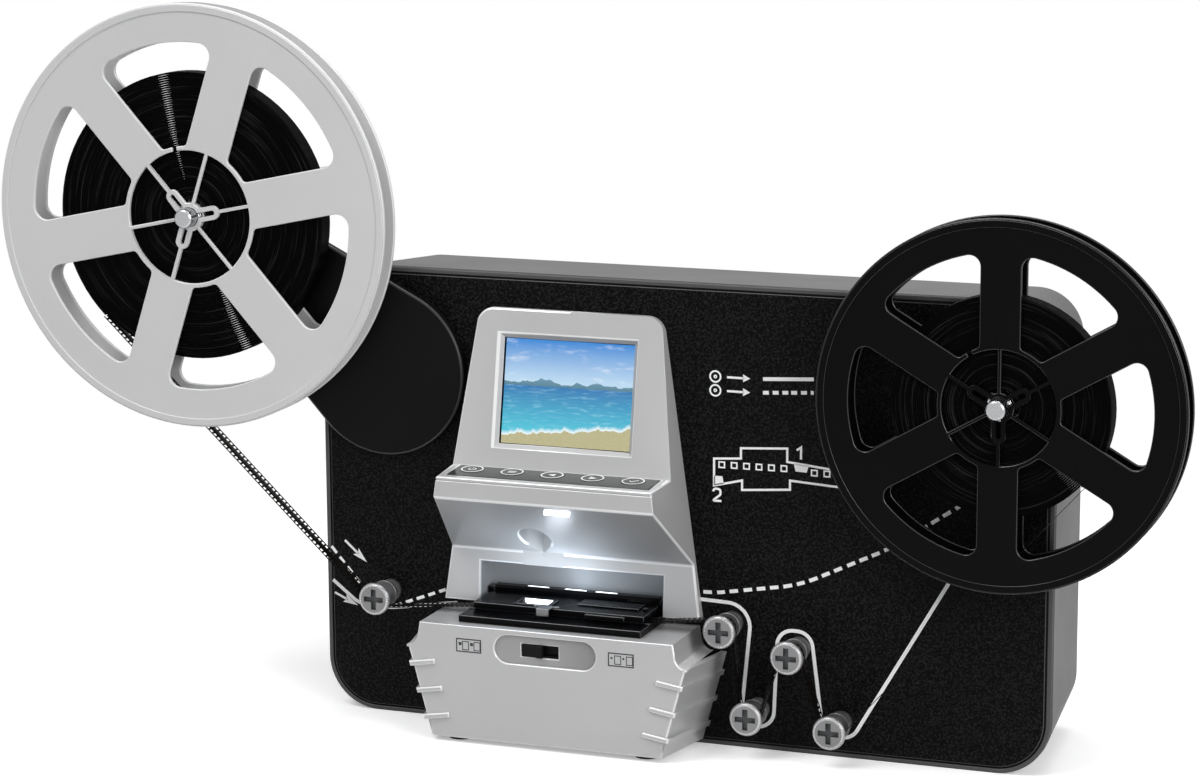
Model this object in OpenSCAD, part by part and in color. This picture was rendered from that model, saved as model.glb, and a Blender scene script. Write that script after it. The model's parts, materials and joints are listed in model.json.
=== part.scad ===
// Desktop movie film scanner: a tapered housing with a black front cover, a scan head with a small
// screen over a hinged film gate, guide rollers, a take-up reel and a swinging arm with a supply reel.
// Millimetres. X to the right, Y to the back, Z up. The front cover's face is the plane Y = 0 of the
// drawing, and the finished part is moved so that its origin is the middle of its box, on the table.

/* [Housing] */
// Width of the front cover
body_w = 310; // [300:1:330]
// Height of the front cover
body_h = 189; // [189:1:210]
// Depth of the housing, front cover included
body_d = 74; // [66:1:90]
// Corner radius of the front cover
body_corner_r = 22; // [14:1:28]
// How far each side of the housing draws in towards the back
body_taper = 6; // [2:0.5:9]
// Wall thickness of the rear housing
wall = 2.4; // [1.8:0.1:3]
// Thickness of the front cover
cover_t = 3.2; // [2.6:0.1:4]
// Width of the smooth rim round the front cover
rim_w = 1.8; // [1.2:0.1:3]
// Height of the rubber feet under the scan base
foot_h = 2; // [1.5:0.5:3]

/* [Reels] */
// Diameter of the supply reel
supply_reel_d = 176; // [150:1:178]
// Diameter of the take-up reel
takeup_reel_d = 146; // [120:1:150]
// Thickness of a reel over both flanges
reel_t = 11.5; // [11:0.1:13]
// Thickness of one flange
flange_t = 1.6; // [1.2:0.1:1.7]
// Diameter of the spindle that drives a reel
spindle_d = 8; // [7:0.1:8.5]
// Distance of the take-up spindle right of the middle of the cover
takeup_x = 136.5; // [125:0.5:145]
// Height of the take-up spindle
takeup_z = 150.3; // [140:0.1:160]
// Turns of film drawn in each pack
pack_turns = 18; // [8:1:24]

/* [Supply arm] */
// Distance of the arm's pivot left of the middle of the cover
arm_pivot_x = 125.5; // [122:0.5:135]
// Height of the arm's pivot
arm_pivot_z = 146; // [140:0.5:150]
// Length from the pivot to the supply spindle
arm_len = 102; // [100:1:115]
// Angle of the arm above the horizontal
arm_angle = 37.4; // [30:0.1:45]
// Radius of the round lobe at the pivot
arm_lobe_r = 35; // [28:0.5:36]
// Radius of the arm's end at the spindle
arm_tip_r = 16; // [13:0.5:20]
// Thickness of the arm
arm_t = 4.2; // [3.6:0.1:4.4]

/* [Film path] */
// Width of the film
film_w = 8; // [7.8:0.1:8.1]
// Thickness of the film as drawn
film_t = 0.4; // [0.3:0.05:0.5]
// Distance from the front cover to the middle of the film
film_out = 11.75; // [11.5:0.05:12.2]
// Height of the film in the gate
film_z = 52.6; // [52.4:0.1:53.2]
// Diameter of a guide roller's sleeve
roller_d = 7; // [6:0.1:8]
// Diameter of a guide screw's head
screw_head_d = 13.7; // [12:0.1:15]
// Length of a guide screw in front of the cover
screw_out = 18.2; // [17.8:0.1:20]

/* [Scan head] */
// Distance of the head's middle left of the middle of the cover
head_left = 44.4; // [42:0.1:46]
// Height of the head's top edge
head_top_z = 175; // [172:0.5:180]
// Width of the head at its top edge
head_top_w = 79; // [76:0.5:84]
// Width of the head at its bottom edge
head_bottom_w = 112; // [109:0.5:114]
// Radius of the head's upper corners
head_corner_r = 7.5; // [4:0.5:9]
// Depth of the head at its top edge
head_top_out = 2.2; // [2:0.1:4]
// Height of the back of the key shelf
shelf_z = 111.6; // [110.6:0.1:113]
// Distance from the cover to the back of the key shelf
shelf_back = 14; // [13:0.5:16]
// Distance from the cover to the front of the key shelf
head_out = 34; // [33:0.5:37]
// Height of the lip under the key shelf
lip_h = 8.8; // [7.4:0.1:9.2]
// Height of the crease above the gate
crease_z = 74.6; // [73:0.1:77]
// Wall thickness of the head and the base
head_wall = 2.2; // [1.8:0.1:2.6]
// Width of the lit screen
screen_w = 53.6; // [50:0.1:56]
// Height of the lit screen
screen_h = 40.6; // [38:0.1:42]

/* [Keys] */
// Diameter of a key
key_d = 9.6; // [8:0.1:9.8]
// Distance between keys
key_pitch = 17.3; // [15.5:0.1:17.6]
// Width of the glossy key strip
strip_w = 86.2; // [84:0.2:87]
// Depth of the glossy key strip
strip_depth = 15; // [14:0.1:15.6]
// Travel of a key
key_travel = 0.5; // [0.3:0.1:0.8]

/* [Scan base] */
// Height of the base's top
base_top_z = 49.4; // [49:0.1:49.6]
// Height of the shoulders at the base's sides
shoulder_z = 39.5; // [37:0.5:41]
// Width of the base's top
base_top_w = 109; // [106:0.5:112]
// Width across the shoulders
shoulder_w = 119.2; // [116:0.2:124]
// Width of the base's bottom
base_bottom_w = 99; // [94:0.5:104]
// Distance from the cover to the front of the base
base_out = 33; // [32:0.5:36]
// How far each side of the base widens towards the cover
base_flare = 6.4; // [3:0.2:8]
// How far the ribs stand out of the base
rib_out = 1.2; // [0.8:0.1:1.6]
// Width of the switch's recess
switch_recess_w = 43.6; // [40:0.2:46]
// Height of the switch's recess
switch_recess_h = 11.7; // [10:0.1:12]
// Travel of the film type switch
switch_travel = 6; // [5:0.5:7]

/* [Film gate] */
// Width of the gate's bottom plate
plate_w = 78.6; // [77:0.2:79]
// Distance from the cover to the front of the bottom plate
plate_out = 28.3; // [27:0.1:30]
// Width of the gate's door
door_w = 74; // [70:0.5:75]
// Distance from the cover to the front of the door
door_out = 18.2; // [17.6:0.1:20]
// Thickness of the door
door_t = 2.6; // [2.4:0.1:3]
// Distance of the lens axis left of the head's middle
aperture_left = 12; // [10:0.1:14]
// Width of the hinge recess's opening
recess_w = 79.4; // [79.2:0.1:81]
// Height of the top of the hinge recess
recess_top_z = 69; // [67:0.5:71]

/* [Hidden] */
$fn = 96;
// Cut overshoot and clearances
cut = 1;
run_gap = 0.05;
seat_gap = 0.15;
film_gap = 0.3;
// Places that follow from the sizes above
head_x = -head_left;
aperture_x = head_x - aperture_left;
film_y = -film_out;
supply_r = supply_reel_d / 2;
takeup_r = takeup_reel_d / 2;
pivot = [-arm_pivot_x, arm_pivot_z];
supply = [pivot[0] - arm_len * cos(arm_angle), pivot[1] + arm_len * sin(arm_angle)];
takeup = [takeup_x, takeup_z];
reel_front = film_y - reel_t / 2;
reel_back = film_y + reel_t / 2;
arm_gap = 0.4;
arm_front = -arm_gap - arm_t;
back_y = body_d;

// Fastenings
screw_in = 24;
screw_top_in = 16;
screw_r = 1.25;
screw_sink = 12;
boss_len = 14;
boss_post_r = 4;
shank_r = 2;
nut_r = 3.6;
cross_size = [8.6, 2.8, 2.2];
pivot_r = 10;
bush_r = spindle_d / 2 + 2.5;
fit_gap = 0.02;
groove_w = 0.8;

// Ports in the back wall
ports_z = 30;
inlet_x = 104;
inlet_r = 4.4;
usb_x = 84;
usb_size = [9.2, 4.4];
card_x = 52;
card_size = [25.8, 4.2];
port_gap = 0.1;

// Guide screws: place of each axis on the cover
rollers = [[-126, 52.6], [24, 51.9], [35.3, 17.1], [52.2, 43.8], [69.9, 14.8]];
roller_r = roller_d / 2;
film_r = roller_r + film_gap + film_t / 2;

// Reel proportions
hub_share = 0.335;
window_share = 0.82;
spoke_share = 0.22;
supply_pack_share = 0.686;
takeup_pack_share = 0.60;
hub_ring = 1.8;
hub_rib_w = 1.4;
boss_r = spindle_d / 2 + 2;
lobe_out = 11;
lobe_r = 2.9;
lobe_slot = 1;
core_r = boss_r + 0.8;

// Scan head: side profile from the cover round to the cover again
head_low_z = film_z - 0.6;
head_low_out = 4;
crease_out = 2.6;
shelf_drop = 1;
fascia_angle = atan((shelf_back - head_top_out) / (head_top_z - shelf_z));
fascia_len = norm([shelf_back - head_top_out, head_top_z - shelf_z]);
shelf_angle = atan(shelf_drop / (head_out - shelf_back));
shelf_len = norm([head_out - shelf_back, shelf_drop]);
head_side = [
    [0, head_low_z],
    [0, head_top_z],
    [-head_top_out, head_top_z],
    [-shelf_back, shelf_z],
    [-head_out, shelf_z - shelf_drop],
    [-head_out - 0.4, shelf_z - shelf_drop - lip_h],
    [-crease_out, crease_z],
    [-head_low_out, head_low_z]
];
side_taper = atan((head_bottom_w - head_top_w) / 2 / (head_top_z - head_low_z));
side_draft = 3.8;
screen_s = fascia_len * 0.485;
screen_frame = 3.2;
lcd_rim = 3;
lcd_t = 3;
lcd_room = screen_h / 2 + lcd_rim + 2;
lcd_mid_z = shelf_z + screen_s * cos(fascia_angle);
lens_r = 6.5;
lens_tip = film_out - crease_out + 0.2;
lens_seat_z = shelf_z - 15.6;
barrel_len = 7;
lens_deep = 3;
line_z = shelf_z - shelf_drop - 1.6;
line_w = 0.5;
line_deep = 0.4;

// Keys
keys_n = 5;
key_gap = 0.1;
strip_t = 1.2;
strip_back = 0.8;
strip_s = shelf_len - strip_back - strip_depth / 2;
keys_left = 1.1;
key_s = strip_s + 2.1;
board_t = 1.6;
board_drop = 6.5;
board_front = 4;
tact_h = 1.2;

// Scan base
base_low_z = foot_h;
notch_r = 5;
rib_t = 2.2;
rib_len = 10.5;
rib_past = 20;
rib_slope = 9;
rib_z = [33.4, 22.3, 11.4];
switch_z = (shoulder_z + base_top_z) / 2 - 3.2;
slot_w = 16;
slot_left = 2.5;
slot_x = head_x - slot_left;
slot_h = 5.2;
knob_w = slot_w - switch_travel - 0.8;
ridge_w = 2.6;

// Film gate
plate_t = film_z - film_t / 2 - base_top_z;
plate_back = 8;
guide_w = 1.5;
guide_gap = 0.2;
door_low = film_z + film_t / 2 + film_gap;
door_top = door_low + door_t;
hinge_y = 5.2;
hinge_r = 2;
hinge_z = door_low + hinge_r;
pin_r = 1;
gate_frame_w = 6.4;
gate_frame_h = 4.8;
pocket_wall = 1.6;
pocket_back = 10.5;
door_back = hinge_y - 6;
ear_w = 3;
rail_h = 3.1;
rail_back = 1.2;
// Openings and raised parts of the door, placed from the head's middle
window_size = [13.4, 7.6];
window_rim = 1.4;
raised = 0.8;
pad_x = 5.4;
pad_size = [26.4, 8.4];
grip_x = 12.4;
grip_size = [17, 2.2];
slot_len = 10;
slot_depth = 1;
hinge_slots = [-17.6, -1.2, 12.3];
latch_x = -5;
latch_size = [5.4, 4.6, 0.9];
latch_seat = door_out - film_out - window_size[1] / 2 - window_rim - seat_gap;

// Take-up drive
gear_m = 0.7;
gear_teeth = 36;
pinion_teeth = 12;
gear_t = 5;
gear_y = cover_t + 5.4;
drive_distance = gear_m * (gear_teeth + pinion_teeth) / 2 + 0.15;
motor = [takeup[0] - drive_distance, takeup[1]];
motor_r = 11;
motor_lug = 8;
motor_len = 25;
motor_shaft_r = 1.5;
motor_plate_t = 1;
motor_y = gear_y + gear_t + 2.5;

// Film advance
claw_y = film_y + film_w / 2 - 1;
claw_off = 30;
claw_x = aperture_x + claw_off;
claw_t = 1;
claw_travel = 4.2;
claw_w = 32;
claw_guides = [-11, 11];
guide_pin_r = 1.2;
cam_z = base_top_z - 17;
bracket_y = claw_y - 4.5;
bracket_t = 1.6;

// Main board on the back wall
board_y = back_y - 22;
board_w = 130;
board_h = 76;
board_corner = [-20, 62];
board_hole = [10, 8];
board_posts = [
    for (x = [board_hole[0], board_w - board_hole[0]], z = [board_hole[1], board_h - board_hole[1]])
        board_corner + [x, z]
];
// Corner and size of each chip on the main board
chips = [[40, 30, 16], [76, 38, 12], [102, 22, 9]];
chip_t = 1.6;

// Middle of the finished part's box
frame_x = (supply[0] - supply_r + takeup[0] + takeup_r) / 2;
frame_y = (back_y - head_out - 0.4) / 2;

// Flat outline in X and Z, given depth from y0 to y1
module slab(y0, y1) {
    translate([0, y1, 0]) rotate([90, 0, 0]) linear_extrude(y1 - y0) children();
}

// Outline in Y and Z, given width w across X
module across(w) {
    translate([-w / 2, 0, 0]) rotate([90, 0, 90]) linear_extrude(w) children();
}

// Round bar along Y
module rod(at, y0, y1, r) {
    translate([at[0], y0, at[1]]) rotate([-90, 0, 0]) cylinder(h = y1 - y0, r = r);
}

// Solid of revolution along Y: profile points are radius and Y
module turned(at, profile) {
    translate([at[0], 0, at[1]]) rotate([-90, 0, 0]) rotate_extrude() polygon(profile);
}

// Rectangle with round corners, standing on the line Z = low
module round_plate(w, h, r, low = 0) {
    translate([0, low]) {
        translate([-w / 2, r]) square([w, h - 2 * r]);
        translate([-w / 2 + r, 0]) square([w - 2 * r, h]);
        for (x = [-1, 1], z = [r, h - r]) translate([x * (w / 2 - r), z]) circle(r);
    }
}

// Oblong with half round ends, centred
module oblong(w, h) {
    square([w - h, h], center = true);
    for (x = [-1, 1]) translate([x * (w - h) / 2, 0]) circle(h / 2);
}

// Corner points of an outline moved inwards by t, edge by edge
function edge_dir(p, i) = let (d = p[(i + 1) % len(p)] - p[i]) d / norm(d);
function inset_line(p, i, t) = let (d = edge_dir(p, i)) p[i] + t * [-d[1], d[0]];
function wedge(u, v) = u[0] * v[1] - u[1] * v[0];
function crossing(a, u, b, v) = a + u * wedge(b - a, v) / wedge(u, v);
function inset(p, t) = [
    for (i = [0 : len(p) - 1])
        let (j = (i + len(p) - 1) % len(p))
        crossing(inset_line(p, j, t), edge_dir(p, j), inset_line(p, i, t), edge_dir(p, i))
];

// Housing

cover_screws = [
    [-body_w / 2 + screw_in, screw_in],
    [0, screw_in],
    [body_w / 2 - screw_in, screw_in],
    [-body_w / 2 + screw_in, body_h - screw_in],
    [0, body_h - screw_top_in],
    [motor[0] - motor_r - 2 * boss_post_r, body_h - screw_top_in]
];

// Outline of the housing at a share of its taper
module housing_outline(in) {
    round_plate(body_w - 2 * in, body_h - 2 * in, body_corner_r - in / 2, in);
}

// Tapered box with a rounded back edge, drawn in by t all round
module housing_solid(t, y0, y1) {
    edge = 5;
    steps = 4;
    hull() {
        slab(y0, y0 + 0.1) housing_outline(t);
        for (i = [0 : steps]) {
            a = 90 * i / steps;
            y = y1 - edge * (1 - sin(a));
            drawn = body_taper * (y - cover_t) / (back_y - cover_t);
            slab(y - 0.1, y) housing_outline(t + drawn + edge * (1 - cos(a)));
        }
    }
}

module front_cover() {
    color("#1c1c1d") difference() {
        union() {
            slab(0, cover_t) round_plate(body_w, body_h, body_corner_r);
            for (s = cover_screws) rod(s, cover_t, cover_t + boss_len, boss_post_r);
            for (z = [-1, 1])
                rod([motor[0], motor[1] + z * (motor_r + motor_lug / 2)], cover_t, motor_y, 3);
        }
        // Groove that parts the grained field from the rim
        slab(-cut, groove_w) difference() {
            round_plate(body_w - 2 * rim_w, body_h - 2 * rim_w, body_corner_r - rim_w, rim_w);
            field_in = rim_w + groove_w;
            round_plate(body_w - 2 * field_in, body_h - 2 * field_in, body_corner_r - field_in, field_in);
        }
        for (s = cover_screws) rod(s, cover_t, cover_t + boss_len + cut, screw_r + fit_gap);
        for (r = rollers) rod(r, -cut, cover_t + cut, shank_r + fit_gap);
        rod(takeup, -cut, cover_t + cut, bush_r + fit_gap);
        rod(pivot, -cut, cover_t + cut, pivot_r + run_gap);
        // Openings behind the screen and the gate
        translate([head_x, 0]) slab(-cut, cover_t + cut) {
            translate([-screen_w / 2 - lcd_rim - 2, lcd_mid_z - lcd_room])
                square([screen_w + 2 * lcd_rim + 4, 2 * lcd_room]);
            room = pocket_wall + seat_gap;
            translate([-recess_w / 2 - room, base_top_z - room])
                square([recess_w + 2 * room, recess_top_z - base_top_z + 2 * room]);
        }
    }
}

module rear_housing() {
    color("#8f9092") difference() {
        union() {
            difference() {
                housing_solid(0, cover_t, back_y);
                housing_solid(wall, cover_t - cut, back_y - wall);
            }
            for (s = cover_screws) rod(s, cover_t + boss_len, back_y - wall / 2, boss_post_r + 0.5);
            for (b = board_posts) rod(b, board_y + board_t, back_y - wall / 2, 3);
        }
        for (s = cover_screws) {
            rod(s, cover_t + boss_len - cut, back_y + cut, screw_r + 0.4);
            rod(s, back_y - screw_sink, back_y + cut, 2 * screw_r + 0.9);
        }
        // Port openings in the back wall
        rod([inlet_x, ports_z], back_y - wall - cut, back_y + cut, inlet_r + port_gap);
        translate([usb_x, 0, ports_z]) slab(back_y - wall - cut, back_y + cut)
            oblong(usb_size[0] + 2 * port_gap, usb_size[1] + 2 * port_gap);
        translate([card_x, 0, ports_z]) slab(back_y - wall - cut, back_y + cut)
            square(card_size + 2 * port_gap * [1, 1], center = true);
    }
}

module rubber_feet() {
    color("#202020") {
        for (x = [-1, 1]) translate([head_x + x * (base_bottom_w / 2 - 9), -base_out + 9, 0])
            cylinder(h = base_low_z, r = 5);
        // The back feet reach down from the tapered bottom wall
        for (x = [-1, 1]) translate([x * (body_w / 2 - 40), back_y - 16, 0])
            intersection() {
                cylinder(h = body_taper + wall, r = 6);
                across(16) polygon([
                    [-8, 0], [8, 0],
                    [8, rear_rise(back_y - 8)], [-8, rear_rise(back_y - 24)]
                ]);
            }
    }
}

// Height of the housing's bottom wall at a depth
function rear_rise(y) = body_taper * (y - cover_t) / (back_y - cover_t);

module housing_screws() {
    color("#3b3b3d") for (s = cover_screws) difference() {
        union() {
            rod(s, cover_t + 4, back_y - screw_sink, screw_r);
            rod(s, back_y - screw_sink, back_y - screw_sink + 2, 2 * screw_r + 0.5);
        }
        for (a = [0, 90]) translate([s[0], back_y - screw_sink + 2, s[1]]) rotate([0, a, 0])
            cube([3.6, 2, 0.8], center = true);
    }
}

// Scan head

// Half space left of the head's right side wall, drawn in by t
module side_limit(t) {
    span = 400;
    translate([head_bottom_w / 2 - t, 0, head_low_z]) rotate([0, -side_taper, 0]) rotate([0, 0, -side_draft])
        translate([-span, -span / 2, -span / 2]) cube(span);
}

module head_solid(profile, t) {
    translate([head_x, 0, 0]) difference() {
        intersection() {
            across(head_bottom_w + 20) polygon(profile);
            side_limit(t);
            mirror([1, 0, 0]) side_limit(t);
        }
        for (x = [0, 1]) mirror([x, 0, 0]) slab(-head_out, 2 * cut) head_corner_waste(head_corner_r - t);
    }
}

// What lies outside the rounded upper right corner of the head, seen from the front
module head_corner_waste(r) {
    middle = [head_top_w / 2 - head_corner_r / tan(45 + side_taper / 2), head_top_z - head_corner_r];
    translate(middle) difference() {
        polygon([
            [0, 0], 2 * r * [cos(side_taper), sin(side_taper)],
            3 * r * [1, 1], [0, 2 * r]
        ]);
        circle(r);
    }
}

// Frame of the sloping screen face: X across, Z up the slope, Y into the head
module on_fascia() {
    translate([head_x, -shelf_back, shelf_z]) rotate([-fascia_angle, 0, 0]) children();
}

// Frame of the key shelf: X across, Y back along the shelf, Z out of it, from the shelf's front edge
module on_shelf() {
    translate([head_x, -head_out, shelf_z - shelf_drop]) rotate([shelf_angle, 0, 0]) children();
}

// Inner cavity of the head, open at the back
module head_cavity() {
    inner = inset(head_side, head_wall);
    head_solid([
        [cut, inner[6][1]], [cut, inner[1][1]], inner[2], inner[3], inner[4], inner[5], inner[6]
    ], head_wall);
}

module scan_head() {
    color("#bfc2c4") difference() {
        union() {
            difference() {
                head_solid(head_side, 0);
                head_cavity();
            }
            // Seat of the lens barrel
            intersection() {
                translate([aperture_x, film_y, crease_z]) linear_extrude(lens_seat_z - crease_z)
                    lens_outline(lens_r + 2, lens_tip * (lens_r + 2) / lens_r);
                head_solid(head_side, 0);
            }
            // Pocket that takes the gate's hinge
            translate([head_x, 0]) slab(0, pocket_back + pocket_wall)
                translate([-recess_w / 2 - pocket_wall, base_top_z - pocket_wall])
                square([recess_w + 2 * pocket_wall, recess_top_z - base_top_z + 2 * pocket_wall]);
            for (x = [-1, 1]) on_shelf() translate([x * (strip_w / 2 - 2), strip_s, -board_drop])
                cylinder(h = board_drop - strip_t - 0.3, r = 2);
        }
        // Mouth of the pocket
        translate([head_x, 0]) slab(-head_out, pocket_back) translate([-recess_w / 2, base_top_z])
            square([recess_w, recess_top_z - base_top_z]);
        // Bevelled screen opening
        on_fascia() hull() {
            translate([0, -0.1, screen_s])
                cube([screen_w + 2 * screen_frame, 0.1, screen_h + 2 * screen_frame], center = true);
            translate([0, head_wall + 0.2, screen_s])
                cube([screen_w + 1, 0.1, screen_h + 1], center = true);
        }
        // Lens bore, drawn to a point towards the crease below the barrel
        translate([aperture_x, film_y, crease_z - cut]) {
            cylinder(h = lens_seat_z - crease_z + 2 * cut, r = lens_r + run_gap);
            linear_extrude(lens_seat_z - barrel_len - crease_z) lens_outline(lens_r + run_gap, lens_tip);
        }
        // Line along the top of the lip
        translate([head_x, 0, 0]) across(head_bottom_w) translate([-head_out - cut, line_z])
            square([cut + line_deep, line_w]);
        // Recess of the key strip and the holes of the keys
        on_shelf() {
            translate([-strip_w / 2 - seat_gap, strip_s - strip_depth / 2 - seat_gap, -strip_t])
                cube([strip_w + 2 * seat_gap, strip_depth + 2 * seat_gap, strip_t + cut]);
            for (i = [0 : keys_n - 1]) key_place(i) translate([0, 0, -board_drop])
                cylinder(h = board_drop, r = key_d / 2 + key_gap);
        }
    }
}

// Outline of the lens opening, seen from above: a circle drawn to a point behind it
module lens_outline(r, tip) {
    turn = acos(r / tip);
    circle(r);
    polygon([[0, 0], r * [sin(turn), cos(turn)], [0, tip], r * [-sin(turn), cos(turn)]]);
}

// Place of one key on the shelf
module key_place(i) {
    translate([(i - (keys_n - 1) / 2) * key_pitch - keys_left, key_s, 0]) children();
}

module lcd_panel() {
    lit_t = 0.4;
    color("#2b5f8f") on_fascia() translate([0, head_wall + 1.6, screen_s]) {
        translate([-screen_w / 2 - lcd_rim, 0, -screen_h / 2 - lcd_rim])
            cube([screen_w + 2 * lcd_rim, lcd_t, screen_h + 2 * lcd_rim]);
        translate([-screen_w / 2, -lit_t, -screen_h / 2]) cube([screen_w, lit_t + 0.1, screen_h]);
    }
}

module screen_window() {
    edge = 2.5;
    color("#7fb4d8") on_fascia() translate([0, head_wall + 0.25, screen_s])
        translate([-screen_w / 2 - edge, 0, -screen_h / 2 - edge])
        cube([screen_w + 2 * edge, 0.9, screen_h + 2 * edge]);
}

module key_strip() {
    color("#4d524f") on_shelf() difference() {
        translate([-strip_w / 2, strip_s - strip_depth / 2, -strip_t])
            cube([strip_w, strip_depth, strip_t + 0.1]);
        for (i = [0 : keys_n - 1]) key_place(i) translate([0, 0, -strip_t - cut])
            cylinder(h = strip_t + 2 * cut, r = key_d / 2 + key_gap);
    }
}

// One key: a disc in the strip, with a stem over its switch on the key board
module key(i) {
    top = 0.3;
    under = head_wall + 0.2;
    color("#565b58") on_shelf() key_place(i) {
        translate([0, 0, -under]) cylinder(h = under + top, r = key_d / 2);
        translate([0, 0, -board_drop + tact_h + 0.2 + key_travel])
            cylinder(h = board_drop - tact_h - 0.2 - key_travel - under + 0.1, r = 1.5);
    }
}

module key_board() {
    color("#1f5a3a") on_shelf() {
        translate([-strip_w / 2, strip_s - board_front, -board_drop - board_t])
            cube([strip_w, board_front + strip_depth / 2, board_t]);
        for (i = [0 : keys_n - 1]) key_place(i) translate([-3, -3, -board_drop]) cube([6, 6, tact_h]);
    }
}

module camera_board() {
    color("#1f5a3a") translate([aperture_x, film_y, lens_seat_z + 4]) {
        translate([-13, -10, 0]) cube([26, 20, board_t]);
        translate([-4, -4, board_t]) cube([8, 8, 1.2]);
    }
}

module lens_barrel() {
    color("#26282a") translate([aperture_x, film_y, 0]) difference() {
        union() {
            translate([0, 0, lens_seat_z - barrel_len]) cylinder(h = barrel_len, r = lens_r);
            translate([0, 0, lens_seat_z]) cylinder(h = 4, r = lens_r + 1.6);
        }
        translate([0, 0, lens_seat_z - barrel_len - cut]) cylinder(h = lens_deep + cut, r = lens_r - 0.9);
        translate([0, 0, lens_seat_z - barrel_len]) cylinder(h = barrel_len + 4 + cut, r = lens_r - 2.4);
    }
}

module lens_glass() {
    color("#9fb8c6") translate([aperture_x, film_y, lens_seat_z - barrel_len + lens_deep]) intersection() {
        translate([0, 0, -2]) cylinder(h = 2, r = lens_r - 1);
        translate([0, 0, 14 - 1.9]) sphere(14);
    }
}

// Scan base

// Lower block: a trapezoid in front view that widens towards the cover
module base_block(grow, back = 0) {
    w = shoulder_w / 2 + grow;
    b = base_bottom_w / 2 + grow;
    out = base_out + grow;
    translate([head_x, 0]) hull() {
        slab(-out, -out + 0.1) polygon([
            [-b, base_low_z], [b, base_low_z],
            [w, shoulder_z], [-w, shoulder_z]
        ]);
        slab(back - 0.1, back) polygon([
            [-b - base_flare, base_low_z], [b + base_flare, base_low_z],
            [w + base_flare, shoulder_z], [-w - base_flare, shoulder_z]
        ]);
    }
}

// Upper block with hollow fillets down to the shoulders
module base_upper(t) {
    top = base_top_w / 2 - t;
    foot = top + 0.8 + notch_r;
    translate([head_x, 0]) slab(-base_out + t, t > 0 ? cut : 0) difference() {
        polygon([
            [-foot, shoulder_z - 1 - t], [foot, shoulder_z - 1 - t], [foot, shoulder_z + notch_r],
            [top + 0.8, shoulder_z + notch_r], [top, base_top_z - t],
            [-top, base_top_z - t], [-top - 0.8, shoulder_z + notch_r], [-foot, shoulder_z + notch_r]
        ]);
        for (x = [-1, 1]) translate([x * foot, shoulder_z + notch_r]) circle(notch_r);
    }
}

// Ribs that wrap round the front corners
module base_ribs() {
    intersection() {
        base_block(rib_out);
        union() for (x = [-1, 1], z = rib_z) {
            half = base_half(z);
            translate([head_x + x * half, 0, z - 1.5]) rotate([0, x * rib_slope, 0])
                translate([x > 0 ? -rib_len : -rib_past, -base_out - 5, -rib_t / 2])
                cube([rib_len + rib_past, base_out + 5, rib_t]);
        }
    }
}

// Half width of the base's front at a height
function base_half(z) =
    (base_bottom_w + (shoulder_w - base_bottom_w) * (z - base_low_z) / (shoulder_z - base_low_z)) / 2;

module scan_base() {
    color("#bfc2c4") difference() {
        union() {
            base_block(0);
            base_upper(0);
            base_ribs();
        }
        // Hollow inside, open towards the cover
        difference() {
            union() {
                intersection() {
                    base_block(-head_wall, cut);
                    translate([head_x - shoulder_w, -base_out, base_low_z + head_wall])
                        cube([2 * shoulder_w, base_out + cut, base_top_z]);
                }
                base_upper(head_wall);
            }
            // Posts that carry the light board and the claw bracket
            for (p = light_posts) translate([p[0], p[1], base_top_z - 6]) cylinder(h = 6, r = 2.2);
        }
        // Light shaft under the gate, and the claw's slot
        translate([aperture_x, film_y, base_top_z - 8]) cylinder(h = 8 + cut, r = 5);
        translate([claw_x - 6, claw_y - 1, base_top_z - 8]) cube([12, claw_t + 2, 8 + cut]);
        // Switch recess and its slot
        translate([head_x, 0, switch_z]) slab(-base_out - cut, -base_out + 1.2)
            oblong(switch_recess_w, switch_recess_h);
        translate([slot_x, 0, switch_z]) slab(-base_out - cut, -base_out + head_wall + cut)
            square([slot_w, slot_h], center = true);
    }
}

light_posts = [for (x = [-14, 6]) [aperture_x + x, film_y - 9]];

module light_board() {
    color("#e8e8e2") {
        translate([aperture_x - 17, film_y - 12, base_top_z - 6 - board_t]) cube([26, 22, board_t]);
        translate([aperture_x - 2.5, film_y - 2.5, base_top_z - 6]) cube([5, 5, 1.4]);
    }
}

module light_diffuser() {
    color("#f4f8fb") translate([aperture_x, film_y, 0]) {
        translate([0, 0, base_top_z - 3]) cylinder(h = 3, r = 4.9);
        translate([-gate_frame_w / 2 + 0.1, -gate_frame_h / 2 + 0.1, base_top_z - 0.5])
            cube([gate_frame_w - 0.2, gate_frame_h - 0.2, plate_t]);
    }
}

module switch_plate() {
    color("#232425") translate([slot_x, 0, switch_z]) difference() {
        slab(-base_out + head_wall, -base_out + head_wall + 3)
            square([slot_w + 8, slot_h + 5], center = true);
        slab(-base_out + head_wall - cut, -base_out + head_wall + 1.8)
            square([slot_w, slot_h - 1.4], center = true);
    }
}

module switch_slider() {
    color("#141415") translate([slot_x - slot_w / 2 + 0.4, 0, switch_z]) {
        translate([0, 0, -slot_h / 2 + 0.15]) {
            translate([0, -base_out + 0.7, 0]) cube([knob_w, head_wall - 0.8, slot_h - 0.3]);
            translate([knob_w - ridge_w, -base_out - 0.6, 0]) cube([ridge_w, 1.4, slot_h - 0.3]);
        }
        translate([1, -base_out + head_wall - 0.2, -slot_h / 2 + 0.8])
            cube([knob_w - 2, 1.9, slot_h - 1.6]);
    }
}

// Film gate

// Slot over the claw, drawn from the head's middle
module claw_opening(low, h) {
    w = claw_travel + 4;
    translate([claw_x - head_x - w / 2, claw_y - 0.4, low]) cube([w, claw_t + 0.8, h]);
}

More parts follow.
